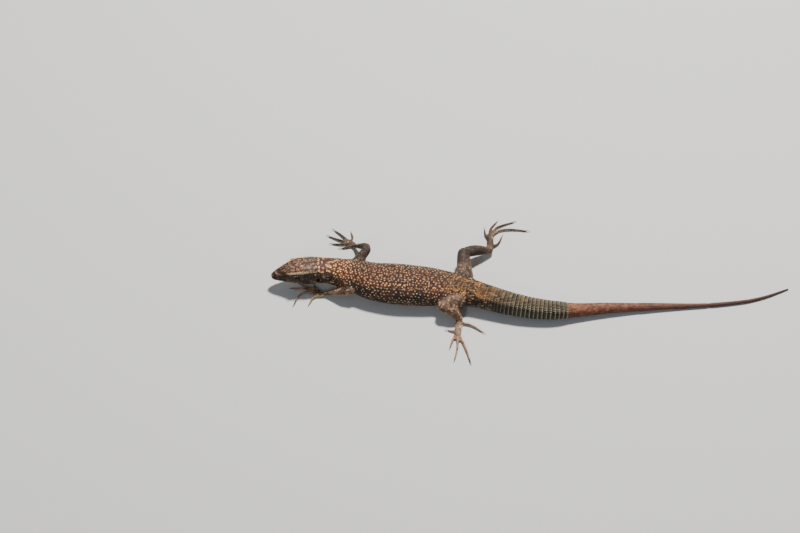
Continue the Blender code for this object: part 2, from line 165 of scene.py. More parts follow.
plain_floor()

# %% [markdown]
# ## One skin
# A real lizard has no seams, but the solids are parted where a person would name a part.
# Joining them with booleans would keep every facet. Swelling the solids a little until
# they touch, and wrapping a fine voxel mesh round all of them at once, gives one closed
# skin. The skin is then drawn back until it lies inside the solids by the depth of the
# scales, so that scales and skin together have the solids' outline.

# %% Solids as search trees
SWELL = 0.22                    # closes the cuts between the solids
SLIGHT_SWELL = 0.07             # elsewhere
CUT_NEAR = 0.6                  # this near to the next solid, a solid swells fully
CUT_FADE = 0.8                  # and over this much further the swelling fades
VOXEL = 0.315                   # size of the wrap's cells
WELD = 0.001                    # points nearer to each other than this become one


def solid_of(names, swell=0.0):
    """CAD nodes as one welded bmesh in millimetres, swollen along its normals."""
    bm = bmesh.new()
    for name in names:
        bm.from_mesh(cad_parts[name].data)
    bmesh.ops.scale(bm, vec=Vector((1, 1, 1)) / MM, verts=bm.verts)
    bmesh.ops.remove_doubles(bm, verts=bm.verts, dist=WELD)
    bm.normal_update()
    for vertex in bm.verts:
        vertex.co += vertex.normal * swell
    return bm


def swollen_at_cuts(names):
    """All nodes in one bmesh, swollen fully near a cut and only a little elsewhere, so toes stay apart."""
    bm = bmesh.new()
    for name in names:
        others = tree_of([other for other in names if other != name])
        part = solid_of([name])
        for vertex in part.verts:
            gap = others.find_nearest(vertex.co)[3]
            near_cut = 1 - min(1.0, max(0.0, (gap - CUT_NEAR) / CUT_FADE))
            vertex.co += vertex.normal * (SLIGHT_SWELL + (SWELL - SLIGHT_SWELL) * near_cut)
        mesh = bpy.data.meshes.new("part")
        part.to_mesh(mesh)
        part.free()
        bm.from_mesh(mesh)
        bpy.data.meshes.remove(mesh)
    return bm


def tree_of(names, swell=0.0):
    bm = solid_of(names, swell)
    tree = BVHTree.FromBMesh(bm)
    bm.free()
    return tree


def tree_with_owners(names):
    """One search tree over several nodes, and the node that each of its faces is on."""
    points = []
    faces = []
    owners = []
    for name in names:
        bm = solid_of([name])
        start = len(points)
        points += [vertex.co.copy() for vertex in bm.verts]
        faces += [[vertex.index + start for vertex in face.verts] for face in bm.faces]
        owners += [name] * len(bm.faces)
        bm.free()
    return BVHTree.FromPolygons(points, faces), owners


flesh_tree, flesh_owner = tree_with_owners(FLESH)
eye_centres = {side: centre_of(f"eye_{side}") for side in ("left", "right")}
eye_low, eye_high = box_mm("eye_left")
EYE_RADIUS = (eye_high.z - eye_low.z) / 2
note(f"eyeball radius {EYE_RADIUS:.2f} mm")

# %% Skin
COAT_DEPTH = 0.11               # how far the skin lies inside the solids
THIN_COAT = {"foot": 0.05, "middle": 0.07, "tip": 0.035, "head": 0.085, "jaw": 0.085}
LID_DEPTH = 0.02
LID_REACH = 1.5 * EYE_RADIUS    # the lids lie this near to the eyeball's centre
SEAM_FACING = 0.7               # below this a solid's face looks along the body, as in a cut
COLLAR_X = box_mm("neck")[0].x  # the head ends here


def coat_depth(node, place):
    if min((place - centre).length for centre in eye_centres.values()) < LID_REACH:
        return LID_DEPTH
    return THIN_COAT.get(node.split("_")[-1], COAT_DEPTH)


def voxel_wrap(bm, voxel):
    """A closed quad mesh round a bmesh, as a new bmesh."""
    mesh = bpy.data.meshes.new("wrap")
    bm.to_mesh(mesh)
    bm.free()
    holder = link(bpy.data.objects.new("wrap", mesh))
    remesh = holder.modifiers.new("wrap", "REMESH")
    remesh.mode = "VOXEL"
    remesh.voxel_size = voxel
    wrapped = holder.evaluated_get(bpy.context.evaluated_depsgraph_get()).to_mesh()
    result = bmesh.new()
    result.from_mesh(wrapped)
    bpy.data.objects.remove(holder)
    bpy.data.meshes.remove(mesh)
    return result


def relax(bm, verts, rounds):
    """Draw points halfway to the middle of their neighbours, several times over."""
    for _ in range(rounds):
        bmesh.ops.smooth_vert(
            bm, verts=verts, factor=0.5, use_axis_x=True, use_axis_y=True, use_axis_z=True
        )


def draw_back(bm, verts):
    """Move skin points along their normals until they lie just inside the solids."""
    bm.normal_update()
    moves = []
    for vertex in verts:
        near, facing, face, gap = flesh_tree.find_nearest(vertex.co)
        outside = gap if (vertex.co - near).dot(facing) >= 0 else -gap
        moves.append(vertex.normal * (outside + coat_depth(flesh_owner[face], near)))
    for vertex, move in zip(verts, moves):
        vertex.co -= move


def broad(vertex):
    """True away from the feet and the thin end of the tail, where much smoothing would waste them."""
    _, _, face, _ = flesh_tree.find_nearest(vertex.co)
    return flesh_owner[face].split("_")[-1] not in ("foot", "middle", "tip", "jaw", "head")


def at_seam(vertex):
    """True over a cut between two solids, where the nearest face looks along the body."""
    _, facing, _, _ = flesh_tree.find_nearest(vertex.co)
    return facing.dot(vertex.normal) < SEAM_FACING


def widened(verts, rings):
    """The points and their neighbours, some rings out."""
    chosen = set(verts)
    for _ in range(rings):
        chosen |= {edge.other_vert(vertex) for vertex in chosen for edge in vertex.link_edges}
    return list(chosen)


# %% Wrapping the skin
skin = voxel_wrap(swollen_at_cuts(FLESH), VOXEL)
relax(skin, skin.verts, 3)
draw_back(skin, skin.verts)
relax(skin, skin.verts, 1)
draw_back(skin, skin.verts)
seams = [vertex for vertex in skin.verts if vertex.co.x > COLLAR_X - 1.5 * VOXEL and at_seam(vertex)]
relax(skin, widened(seams, 2), 12)
relax(skin, [vertex for vertex in skin.verts if broad(vertex)], 14)
note(f"skin wrapped, {len(skin.verts)} points, {len(seams)} of them over cuts")
head_faces = [face for face in skin.faces if face.calc_center_median().x < COLLAR_X - VOXEL]
relax(skin, list({vertex for face in head_faces for vertex in face.verts}), 3)
head_edges = list({edge for face in head_faces for edge in face.edges})
bmesh.ops.subdivide_edges(skin, edges=head_edges, cuts=1, use_grid_fill=True)
head_points = [vertex for vertex in skin.verts if vertex.co.x < COLLAR_X - 2 * VOXEL]
relax(skin, head_points, 3)
draw_back(skin, head_points)
relax(skin, [vertex for vertex in skin.verts if vertex.co.x < COLLAR_X + VOXEL], 3)
note(f"head made finer, {len(skin.verts)} points")

# %% [markdown]
# ## Folds of the neck
# A lizard's skin is loose at the neck and lies in soft folds between the ear and the arm.
# They are pressed into the skin before any scale is laid, so that the scales follow them.

# %% Folds of the neck
FOLD_DEPTH = 0.16
FOLD_WIDTH = 0.6
FOLD_ARCH = 0.35                # a fold's middle stands this much above the line between its ends
SIDEWAYS = 0.2                  # a normal with more of this to the side is on the flank


def fold_depth(x, z, start, end):
    """How deep one fold is at a place seen from the side, deepest in its middle."""
    t = min(1.0, max(0.0, (x - start[0]) / (end[0] - start[0])))
    middle = start[1] + (end[1] - start[1]) * t + FOLD_ARCH * math.sin(math.pi * t)
    return FOLD_DEPTH * math.sin(math.pi * t) * math.exp(-(((z - middle) / FOLD_WIDTH) ** 2))


skin.normal_update()
for side, outward in (("left", -1), ("right", 1)):
    arm_x = box_mm(f"foreleg_{side}_upper")[0].x
    folds = [
        ((COLLAR_X - 1.4, 4.9), (arm_x + 0.4, 4.0)),
        ((COLLAR_X + 0.4, 6.9), (arm_x + 0.2, 5.7)),
    ]
    for vertex in skin.verts:
        x, _, z = vertex.co
        if vertex.normal.y * outward > SIDEWAYS and COLLAR_X - 2 < x < arm_x + 1:
            vertex.co -= vertex.normal * sum(fold_depth(x, z, start, end) for start, end in folds)
note(f"{len(folds)} folds on each side of the neck, {FOLD_DEPTH} mm deep")

# %% [markdown]
# ## Charts of the skin
# Scales grow in rings round the body, so each part gets a chart, a map of its skin. One
# number says how far along the part a place is, and one how far round it, from the
# underside by the left flank to the back and on to the right. A chart is traced in steps:
# each step cuts the solid across, moves to the middle of the cut and goes on. The rings
# are then laid on the skin itself.

# %% A search tree of the skin
skin.normal_update()
skin.verts.ensure_lookup_table()
skin_tree = BVHTree.FromBMesh(skin)
skin_index = KDTree(len(skin.verts))
for skin_vertex in skin.verts:
    skin_index.insert(skin_vertex.co, skin_vertex.index)
skin_index.balance()
note(f"search trees over {len(skin.faces)} faces")


def on_skin(place):
    """Nearest point of the skin, its smooth normal and how far away it is."""
    near, _, _, gap = skin_tree.find_nearest(place)
    _, index, _ = skin_index.find(near)
    return near, skin.verts[index].normal, gap


# %% Tracing a chart
HIDDEN = 0.45                   # a place this deep under the skin is inside another part
LOST = 0.4                      # share of missed rays that ends a chart
RAYS = 16                       # rays of a cut that only looks for the middle


def section(tree, centre, heading, reach, count, inward):
    """Where a slice across a solid meets its surface: distances at equal turns, or None past its end."""
    left = heading.cross(UP).normalized()
    rise = left.cross(heading)
    turns = np.arange(count) / count * 2 * np.pi
    rays = [left * math.sin(turn) - rise * math.cos(turn) for turn in turns]
    far = np.full(count, np.nan)
    for k, ray in enumerate(rays):
        if inward:
            hit = tree.ray_cast(centre + ray * reach, -ray, reach)[3]
            far[k] = reach - hit if hit is not None else np.nan
        else:
            hit = tree.ray_cast(centre, ray, reach)[3]
            far[k] = hit if hit is not None else np.nan
    missed = np.isnan(far)
    if missed.mean() > LOST:
        return None
    far[missed] = np.interp(turns[missed], turns[~missed], far[~missed], period=2 * np.pi)
    return np.array([centre + ray * distance for ray, distance in zip(rays, far)])


def trace(tree, start, heading, stride, reach, inward, widest=None, longest=400):
    """Middles of a tube-like solid, step by step from a place inside it."""
    centre = Vector(start)
    heading = Vector(heading).normalized()
    middles = []
    while len(middles) * stride < longest:
        for _ in range(2):
            ring = section(tree, centre, heading, reach, RAYS, inward)
            if ring is None:
                return middles
            shift = Vector(ring.mean(axis=0)) - centre
            centre = centre + shift - heading * shift.dot(heading)
        if widest and np.linalg.norm(ring - np.array(centre), axis=1).mean() > widest:
            return middles
        if middles:
            heading = (heading * 2 + (centre - middles[-1]).normalized()).normalized()
        middles.append(centre)
        centre = centre + heading * stride
    return middles


# %% The chart itself
def smoothed(values, rounds):
    """Average each value with its neighbours along the first axis, the ends held."""
    for _ in range(rounds):
        values = np.concatenate(
            [values[:1], (values[:-2] + 2 * values[1:-1] + values[2:]) / 4, values[-1:]]
        )
    return values


class Chart:
    """Rings of skin points along a part; s is millimetres along it and u the turn round it, 0 to 1."""

    def __init__(self, name, tree, middles, stride, reach, columns, inward, lie):
        self.name = name
        self.stride = stride
        self.columns = columns
        self.lie = lie          # 1 where scales point along s, -1 where they point back
        middles = smoothed(np.array(middles), 4)
        headings = np.gradient(middles, axis=0)
        rings = []
        centres = []
        for middle, heading in zip(middles, headings):
            heading = Vector(heading).normalized()
            ring = section(tree, Vector(middle), heading, reach, 2 * columns, inward)
            if ring is None and rings:
                ring = rings[-1] + np.array(heading) * stride
            if ring is not None:
                rings.append(ring)
                centres.append(middle)
        rings = self.steadied(np.array(rings), np.array(centres)[:, None])
        rings = smoothed(np.array([self.evened(ring) for ring in rings]), 2)
        self.points = rings.copy()
        self.normals = np.zeros_like(rings)
        self.hidden = np.zeros(rings.shape[:2], dtype=bool)
        for i in range(rings.shape[0]):
            middle = Vector(rings[i].mean(axis=0))
            for k in range(columns):
                place = Vector(rings[i, k])
                near, normal, gap = on_skin(place)
                self.hidden[i, k] = gap > HIDDEN
                self.points[i, k] = place if gap > HIDDEN else near
                self.normals[i, k] = (place - middle).normalized() if gap > HIDDEN else normal
        self.girths = np.linalg.norm(self.points - np.roll(self.points, 1, axis=1), axis=2).sum(axis=1)
        self.length = stride * (len(rings) - 1)

    def steadied(self, rings, centres):
        """Take out rings that dip into a cut between solids, by the median of five rings."""
        offsets = rings - centres
        radii = np.linalg.norm(offsets, axis=2, keepdims=True)
        padded = np.concatenate([radii[:1]] * 2 + [radii] + [radii[-1:]] * 2)
        steady = np.median([padded[shift:shift + len(radii)] for shift in range(5)], axis=0)
        return centres + offsets * steady / radii

    def evened(self, ring):
        """The ring's points at equal steps round it."""
        closed = np.vstack([ring, ring[:1]])
        steps = np.linalg.norm(np.diff(closed, axis=0), axis=1)
        walked = np.concatenate([[0], np.cumsum(steps)])
        wanted = np.arange(self.columns) / self.columns * walked[-1]
        return np.column_stack([np.interp(wanted, walked, closed[:, axis]) for axis in range(3)])

    def girth(self, s):
        return np.interp(s, np.arange(len(self.girths)) * self.stride, self.girths)

    def corners(self, s, u):
        row = np.clip(np.asarray(s) / self.stride, 0, len(self.points) - 1.001)
        column = (np.asarray(u) % 1.0) * self.columns
        i = row.astype(int)
        k = column.astype(int) % self.columns
        return i, k, (k + 1) % self.columns, (row - i)[..., None], (column - column.astype(int))[..., None]

    def blend(self, grid, s, u):
        i, k, k2, down, across = self.corners(s, u)
        near = grid[i, k] * (1 - across) + grid[i, k2] * across
        far = grid[i + 1, k] * (1 - across) + grid[i + 1, k2] * across
        return near * (1 - down) + far * down

    def place(self, s, u):
        """Skin points and unit normals at many places at once. Past either end the skin goes straight on."""
        s = np.asarray(s, dtype=float)
        points = self.blend(self.points, s, u)
        normals = self.blend(self.normals, s, u)
        normals /= np.linalg.norm(normals, axis=-1, keepdims=True) + 1e-9
        over = s - np.clip(s, 0, self.length)
        ahead = self.blend(self.points, np.minimum(s + self.stride, self.length), u)
        behind = self.blend(self.points, np.maximum(s - self.stride, 0), u)
        along = ahead - behind
        along /= np.linalg.norm(along, axis=-1, keepdims=True) + 1e-9
        return points + along * over[..., None], normals, along

    def is_hidden(self, s, u):
        i, k, k2, _, _ = self.corners(s, u)
        return self.hidden[i, k] | self.hidden[i + 1, k2]


# %% Charts of the body and head
STRIDE = 0.35
charts = {}


def joint_of(first, second):
    """The middle of the place where two nodes meet."""
    tree = tree_of([second])
    bm = solid_of([first])
    near = [vertex.co.copy() for vertex in bm.verts if tree.find_nearest(vertex.co)[3] < 3 * SWELL]
    bm.free()
    return sum(near, Vector()) / len(near)


def add_chart(name, tree, start, heading, stride, reach, columns, inward=True, lie=1, **limits):
    middles = trace(tree, start, heading, stride, reach, inward, **limits)
    if name in LIMB_NODES:      # a limb is traced from its middle to both ends
        middles = trace(tree, start, -heading, stride, reach, inward)[:0:-1] + middles
    charts[name] = Chart(name, tree, middles, stride, reach, columns, inward, lie)
    return charts[name]


nape = joint_of("head", "neck")
shoulder = joint_of("neck", "trunk_front")
body_tree = tree_of(TRUNK_NODES, SWELL)
body = add_chart("body", body_tree, nape + (shoulder - nape) * 0.1, shoulder - nape, STRIDE, 12, 96)
head_tree = tree_of(HEAD_NODES, SWELL)
head_chart = add_chart(
    "head", head_tree, nape - (shoulder - nape) * 0.1, nape - shoulder, STRIDE, 9, 72, lie=-1
)
note(f"body chart {body.length:.0f} mm long, girth up to {body.girths.max():.1f} mm")
note(f"head chart {head_chart.length:.1f} mm long")

# %% Charts of the limbs and digits
DIGIT_STRIDE = 0.25
WIDEST_DIGIT = 0.62             # mean radius where a digit has become the palm


def claw_ends(claw, foot_tree):
    """Root and tip of a claw: its points nearest to the foot and farthest from them."""
    bm = solid_of([claw])
    points = [vertex.co.copy() for vertex in bm.verts]
    bm.free()
    gaps = [foot_tree.find_nearest(point)[3] for point in points]
    close = [point for point, gap in zip(points, gaps) if gap < min(gaps) + 0.12]
    root = sum(close, Vector()) / len(close)
    return root, max(points, key=lambda point: (point - root).length)


claw_axis = {}
for limb in LIMBS:
    elbow = joint_of(f"{limb}_upper", f"{limb}_lower")
    for part, lie in (("upper", -1), ("lower", 1)):
        node = f"{limb}_{part}"
        middle = centre_of(node)
        chart = add_chart(node, tree_of([node]), middle, middle - elbow, STRIDE, 5, 48, lie=lie)
        note(f"{node} chart {chart.length:.1f} mm, girth up to {chart.girths.max():.1f} mm")
    foot_tree = tree_of([f"{limb}_foot"])
    for digit in range(1, 6):
        claw = f"claw_{limb}_{digit}"
        root, tip = claw_ends(claw, foot_tree)
        claw_axis[claw] = (root, tip)
        inward_heading = root - tip
        inward_heading.z = 0
        start = root + inward_heading.normalized() * DIGIT_STRIDE
        chart = add_chart(
            f"{limb}_digit_{digit}", foot_tree, start, inward_heading, DIGIT_STRIDE, 1.3, 16,
            inward=False, lie=-1, widest=WIDEST_DIGIT, longest=13,
        )
    lengths = [charts[f"{limb}_digit_{digit}"].length for digit in range(1, 6)]
    note(f"{limb} digits " + ", ".join(f"{length:.1f}" for length in lengths) + " mm")

# %% Landmarks along the body
row_x = body.points[:, :, 0].mean(axis=1)


def station(x):
    """How far along the body chart a place at this x is."""
    return float(np.interp(x, row_x, np.arange(len(row_x)) * body.stride))


SHOULDER = station(box_mm("trunk_front")[0].x)
VENT = station(box_mm("tail_base")[0].x)
RINGED = station(box_mm("tail_ringed")[0].x)
BREAK = station(box_mm("tail_regrown_root")[0].x)
TAIL_END = body.length
note(f"shoulder at {SHOULDER:.1f}, vent at {VENT:.1f}, tail break at {BREAK:.1f} mm behind the nape")

# %% [markdown]
# ## Markings
# The skin shows between the scales, so both have to carry the same pattern. One set of
# functions gives the colour at any place on a chart: it is asked once for each point of
# the skin and once for the root of each scale, and the answers are stored on the meshes as
# a colour attribute. The back is a net of dark brown round peach dots on copper, the
# flanks are dark with cream dots, the old tail is olive with cream rings, and the part of
# the tail that has regrown is plain reddish copper. Some light and shade is painted into
# these colours as well: the tail is darker low on its sides, the head's sides are darkened
# further, and the left legs are lighter than the right.


# %% Pattern helpers
def srgb(red, green, blue):
    """A colour as it is picked on a screen, 0 to 255, in the linear values that shaders use."""
    value = np.array([red, green, blue]) / 255.0
    return np.where(value <= 0.04045, value / 12.92, ((value + 0.055) / 1.055) ** 2.4)


def ramp(value, start, end):
    """0 up to start, 1 from end on, with a smooth rise between."""
    t = np.clip((np.asarray(value) - start) / (end - start), 0, 1)
    return t * t * (3 - 2 * t)


def mix(first, second, share):
    return first + (second - first) * np.asarray(share)[..., None]


def chance(*cells):
    """A steady pseudo-random number from 0 to 1 for whole-numbered cells."""
    mixed = sum(np.asarray(cell) * factor for cell, factor in zip(cells, (127.1, 311.7, 74.7, 269.5)))
    value = np.sin(mixed) * 43758.5453
    return value - np.floor(value)


def mottle(points, size, seed=0):
    """Soft noise in space from 0 to 1, with lumps of about that size in millimetres."""
    grid = np.asarray(points) / size
    cell = np.floor(grid)
    part = grid - cell
    part = part * part * (3 - 2 * part)
    total = 0.0
    for dx in (0, 1):
        for dy in (0, 1):
            for dz in (0, 1):
                weight = (
                    np.abs(1 - dx - part[..., 0]) * np.abs(1 - dy - part[..., 1])
                    * np.abs(1 - dz - part[..., 2])
                )
                total = total + weight * chance(
                    cell[..., 0] + dx, cell[..., 1] + dy, cell[..., 2] + dz, seed
                )
    return total


def dots(along, across, pitch_along, pitch_across, seed=0, unrest=0.22):
    """Distance in millimetres to the nearest dot of a staggered, slightly restless row pattern,
    how near the border to the next dot is, 0 to 1, and a random number of that dot."""
    row = np.round(across / pitch_across)
    nearest = np.full(np.shape(along), 1e9)
    second = nearest.copy()
    pick = np.zeros(np.shape(along))
    for step in (-1, 0, 1):
        r = row + step
        shift = 0.5 * (r % 2)
        column = np.round(along / pitch_along - shift)
        for side in (-1, 0, 1):
            c = column + side
            x = (c + shift + unrest * (chance(c, r, seed) - 0.5) * 2) * pitch_along
            y = (r + unrest * (chance(c, r, seed + 5) - 0.5) * 2) * pitch_across
            distance = np.hypot(along - x, across - y)
            closer = distance < nearest
            second = np.where(closer, nearest, np.minimum(second, distance))
            pick = np.where(closer, chance(c, r, seed + 9), pick)
            nearest = np.minimum(nearest, distance)
    return nearest, nearest / (second + 1e-6), pick


def note_colour(name, colours):
    mean = np.mean(colours, axis=0)
    note(f"mean of the {name}, linear: " + ", ".join(f"{part:.2f}" for part in mean))


# %% Markings of the body
COPPER = srgb(134, 73, 43)
COPPER_DEEP = srgb(74, 42, 26)
NET = srgb(22, 14, 9)
PEACH = srgb(248, 182, 126)
FLANK = srgb(46, 33, 25)
CREAM = srgb(216, 180, 136)
OCHRE = srgb(158, 112, 52)
OLIVE = srgb(62, 53, 34)
OLIVE_DARK = srgb(24, 21, 15)
RING = srgb(156, 144, 112)
RED_COPPER = srgb(118, 67, 45)
RED_DARK = srgb(64, 38, 29)
BELLY = srgb(206, 182, 132)
THROAT = srgb(214, 198, 162)
BELLY_SPECK = srgb(60, 46, 34)
BACK_EDGE = 4.3                 # millimetres from the middle of the back to the flank
ROLL = -0.7                     # the body leans a little to its left, and its pattern with it
BELLY_SHARE = 0.155             # of the girth, from the middle of the belly to its edge
WHORLS_FROM = VENT + 5.5


def body_colour(s, u):
    """Colour of the neck, trunk and tail at places on the body chart."""
    s = np.asarray(s, dtype=float)
    u = np.mod(u, 1.0)
    girth = body.girth(s)
    across = (u - 0.5) * girth
    height = 1 - np.abs(u - 0.5) * 2                     # 1 on the back, 0 under the belly
    points = body.place(s, u)[0]
    coarse = mottle(points, 3.2, 1)
    fine = mottle(points, 0.8, 2)
    # Back: peach dots with dark brown between them, on copper
    across = across - ROLL * ramp(s, 0, SHOULDER) * (1 - ramp(s, VENT, RINGED))
    far, border, pick = dots(s, across, 1.1, 0.9, 3, 0.36)
    back = mix(COPPER_DEEP, COPPER, 0.15 + 0.85 * coarse)
    to_rear = ramp(s, SHOULDER + 1, SHOULDER + 12)
    back = mix(back, NET, ramp(border, 0.38, 0.62) * (0.85 + 0.13 * to_rear) * (0.8 + 0.2 * fine))
    size = 0.08 + 0.13 * pick + 0.04 * (1 - ramp(s, 3, 7))
    back = mix(back, PEACH * 1.2, (1 - ramp(far, size, size + 0.14)) * (0.6 + 0.4 * fine))
    back = back * (1.4 - 0.62 * to_rear)[..., None]
    # Flank: small cream dots on dark brown
    far, border, pick = dots(s + 0.4, across, 1.15, 0.95, 7, 0.2)
    flank = mix(FLANK, NET, 0.85 * ramp(border, 0.4, 0.7))
    flank = mix(flank, COPPER, 0.3 * ramp(coarse, 0.3, 0.8) * ramp(fine, 0.3, 0.6))
    flank = mix(flank, CREAM, (1 - ramp(far, 0.15, 0.27)) * ramp(pick, 0.05, 0.4))
    # The dots are brightest where the back meets the flank
    edge = BACK_EDGE * np.clip(girth / body.girths.max(), 0.35, 1) ** 0.8
    on_flank = ramp(np.abs(across) + 1.4 * (fine - 0.5), edge - 0.9, edge + 0.9)
    back = back * (0.82 + 0.4 * np.exp(-(((across + edge - 0.8) / 1.3) ** 2)))[..., None]
    colour = mix(back, flank, on_flank)
    # Hips and tail base turn ochre, mottled with dark
    hips = ramp(s, VENT - 12, VENT - 2) * (1 - ramp(s, VENT + 4, VENT + 11)) * (1 - 0.8 * on_flank)
    gold = mix(NET, OCHRE * 1.3, ramp(mottle(points, 0.56, 16), 0.38, 0.6))
    stripe = np.exp(-(((np.abs(across) - edge + 0.7) / 0.9) ** 2))
    colour = mix(colour, colour * 0.35 + gold * (0.24 + 0.8 * stripe)[..., None], hips)
    # Old tail: olive with dark blotches, with painted shade that makes it darker below
    old = ramp(s, VENT, VENT + 8)
    tail = mix(OLIVE_DARK, OLIVE, 0.1 + 0.9 * ramp(mottle(points, 0.9, 4), 0.3, 0.65))
    ochre = 0.55 * ramp(fine, 0.45, 0.7) * (1 - 0.8 * ramp(s, VENT + 8, VENT + 24)) * (1 - on_flank)
    tail = mix(tail, OCHRE, ochre)
    # painted shade on the lower part of the old tail
    tail = mix(tail, OLIVE_DARK * 0.7, 0.9 * (1 - ramp(height, 0.4, 0.85)))
    colour = mix(colour, tail, old * (0.55 + 0.45 * ramp(s, VENT + 6, VENT + 14)))
    # Regrown tail: reddish with pale streaks, darker to its end, and darker below as painted shade, which
    # leaves it paler along its middle
    new = ramp(s, BREAK - 0.25, BREAK + 0.45)
    streak = mottle(np.stack([s * 1.1, across * 2.6, s * 0], axis=-1), 1.0, 6)
    regrown = mix(RED_DARK, RED_COPPER, 0.35 + 0.65 * ramp(streak, 0.1, 0.7))
    regrown = mix(regrown, PEACH, 0.13 * ramp(streak, 0.45, 0.8) * (1 - ramp(s, BREAK + 8, BREAK + 45)))
    regrown = mix(regrown, RED_DARK * 0.8, 0.75 * ramp(s, BREAK + 12, TAIL_END - 14))
    # painted shade on the lower part of the regrown tail
    regrown = mix(regrown, RED_DARK, 0.6 * (1 - ramp(height, 0.4, 0.75)))
    colour = mix(colour, regrown, new)
    # Belly: cream, with dark specks on its outer plates
    belly_top = 2 * BELLY_SHARE - 0.09 * (1 - ramp(s, SHOULDER - 3.5, SHOULDER + 1))
    under = 1 - ramp(height, belly_top - 0.05, belly_top + 0.07)
    pale = mix(BELLY, THROAT, 1 - ramp(s, SHOULDER - 4, SHOULDER + 6))
    specks = ramp(mottle(points, 0.9, 8), 0.62, 0.74) * ramp(height, 0.12, 0.3)
    pale = mix(pale, BELLY_SPECK, specks)
    pale = mix(pale, mix(OLIVE, RED_COPPER, new) * 1.25, 0.75 * ramp(s, VENT + 2, VENT + 14))
    return mix(colour, pale, under * (1 - 0.55 * new))


note_colour("back", body_colour(np.linspace(SHOULDER, VENT, 40), 0.5))

# %% Markings of the legs
LEG = srgb(100, 77, 60)
LEG_DARK = srgb(46, 33, 26)
LEG_DOT = srgb(178, 146, 114)
LEG_UNDER = srgb(186, 160, 122)
TOE = srgb(118, 92, 72)
TOE_DARK = srgb(52, 38, 30)


def leg_colour(chart, s, u):
    """Colour of a limb or digit: mottled brown with pale dots above, cream below, lighter on the left legs
    and darker on the right as painted light and shade.
    """
    points = chart.place(s, u)[0]
    if "digit" in chart.name:
        bars = mottle(points, 1.1, 12)
        colour = mix(TOE_DARK, TOE, 0.25 + 0.75 * ramp(bars, 0.2, 0.65))
    else:
        across = (np.mod(u, 1.0) - 0.5) * chart.girth(s)
        far, border, pick = dots(np.asarray(s, dtype=float), across, 1.15, 1.0, 13, 0.3)
        colour = mix(LEG_DARK, LEG, 0.2 + 0.8 * ramp(mottle(points, 0.9, 14), 0.25, 0.7))
        colour = mix(colour, LEG_DARK, 0.6 * ramp(border, 0.7, 0.95))
        colour = mix(colour, LEG_DOT, (1 - ramp(far, 0.18, 0.32)) * ramp(pick, 0.5, 0.9) * 0.8)
    # Painted light and shade: the left legs are painted 1.75 times lighter, as if in sun, and the right legs
    # darker over the first 5 to 9 mm of each chart, as if in shade
    shade = 1.75 if "left" in chart.name else 0.38 + 0.7 * ramp(s, 5, 9)
    colour = colour * np.asarray(shade)[..., None]
    facing_up = chart.place(s, u)[1][..., 2]
    return mix(LEG_UNDER, colour, ramp(facing_up, -0.6, -0.2))


note_colour("left thigh", leg_colour(charts["hindleg_left_upper"], np.linspace(0, 8, 20), 0.5))

# %% [markdown]
# ## Shapes of scales
# A lizard's scales differ by place. Those of the back are beads with a low crown, those of
# the old tail are long plates with a keel and a raised hind edge, and belly and toes have
# smooth plates. Each shape is made once, about one unit long and wide, and is bent to the
# skin wherever it is laid, so that wide plates wrap round a toe. They are kept to a few
# dozen faces, because there are many thousands of them.


# %% Shapes of scales
SUNK = -0.7                     # a scale's base lies this share of its height under the skin
EVEN_ROWS = (-0.5, -0.25, 0.0, 0.25, 0.5)
LIP_ROWS = (-0.5, -0.1, 0.24, 0.34, 0.5)    # rows drawn together into a narrow hind edge


class Shape:
    """Corners of a scale: x runs to its free end, y across, z is its height over the skin."""

    def __init__(self, bm):
        bmesh.ops.triangulate(bm, faces=bm.faces)
        bmesh.ops.recalc_face_normals(bm, faces=bm.faces)
        bm.verts.ensure_lookup_table()
        self.corners = np.array([vertex.co for vertex in bm.verts])
        self.faces = np.array([[vertex.index for vertex in face.verts] for face in bm.faces])
        # relief is 0 at a scale's foot and 1 on its crown; the shared finish paints shade by it
        self.relief = ramp(self.corners[:, 2], -0.1, 0.9)
        self.tip = ramp(self.corners[:, 0], 0.2, 0.38) * (self.corners[:, 2] > 0)
        bm.free()


def bead(sides):
    """A rounded scale: a low prism whose top is inset and poked up to a crown."""
    bm = bmesh.new()
    bmesh.ops.create_cone(bm, cap_ends=True, segments=sides, radius1=0.5, radius2=0.5, depth=1.0)
    bm.faces.ensure_lookup_table()
    top = max(bm.faces, key=lambda face: face.calc_center_median().z)
    bmesh.ops.inset_individual(bm, faces=[top], thickness=0.17, depth=0.36)
    bmesh.ops.poke(bm, faces=[top], offset=0.17)
    for vertex in bm.verts:
        corner = vertex.co
        if corner.z < 0:
            corner.z = SUNK
        else:
            corner.z = 0.35 + (corner.z - 0.5) * 1.2
            corner.z *= 0.8 + 0.45 * corner.x
            corner.x += 0.06
    return Shape(bm)


def plate(rows, columns, keel=0.0, hind=0.0, lip=False):
    """A plate with rounded corners: a grid, extruded downwards, with a raised hind edge and a keel."""
    bm = bmesh.new()
    bmesh.ops.create_grid(bm, x_segments=rows, y_segments=columns, size=0.5)
    top = list(bm.verts)
    rim = {vertex for vertex in top if vertex.is_boundary}
    grown = bmesh.ops.extrude_face_region(bm, geom=bm.faces[:], use_keep_orig=True)
    lower = [part for part in grown["geom"] if isinstance(part, bmesh.types.BMVert)]
    for vertex in lower:
        vertex.co.z = SUNK
    for vertex in top:
        x, y = vertex.co.xy
        edge = vertex in rim
        vertex.co.z = (0.4 if edge else 1.0) * (0.8 + 0.35 * x)
        vertex.co.z += keel * max(0.0, 1 - 4 * abs(y)) + hind * max(0.0, x)
    for vertex in top + lower:
        x, y = vertex.co.xy
        if abs(x) > 0.45 and abs(y) > 0.45:
            vertex.co.x *= 0.86
            vertex.co.y *= 0.86
        if lip:
            vertex.co.x = float(np.interp(x, EVEN_ROWS, LIP_ROWS))
    return Shape(bm)


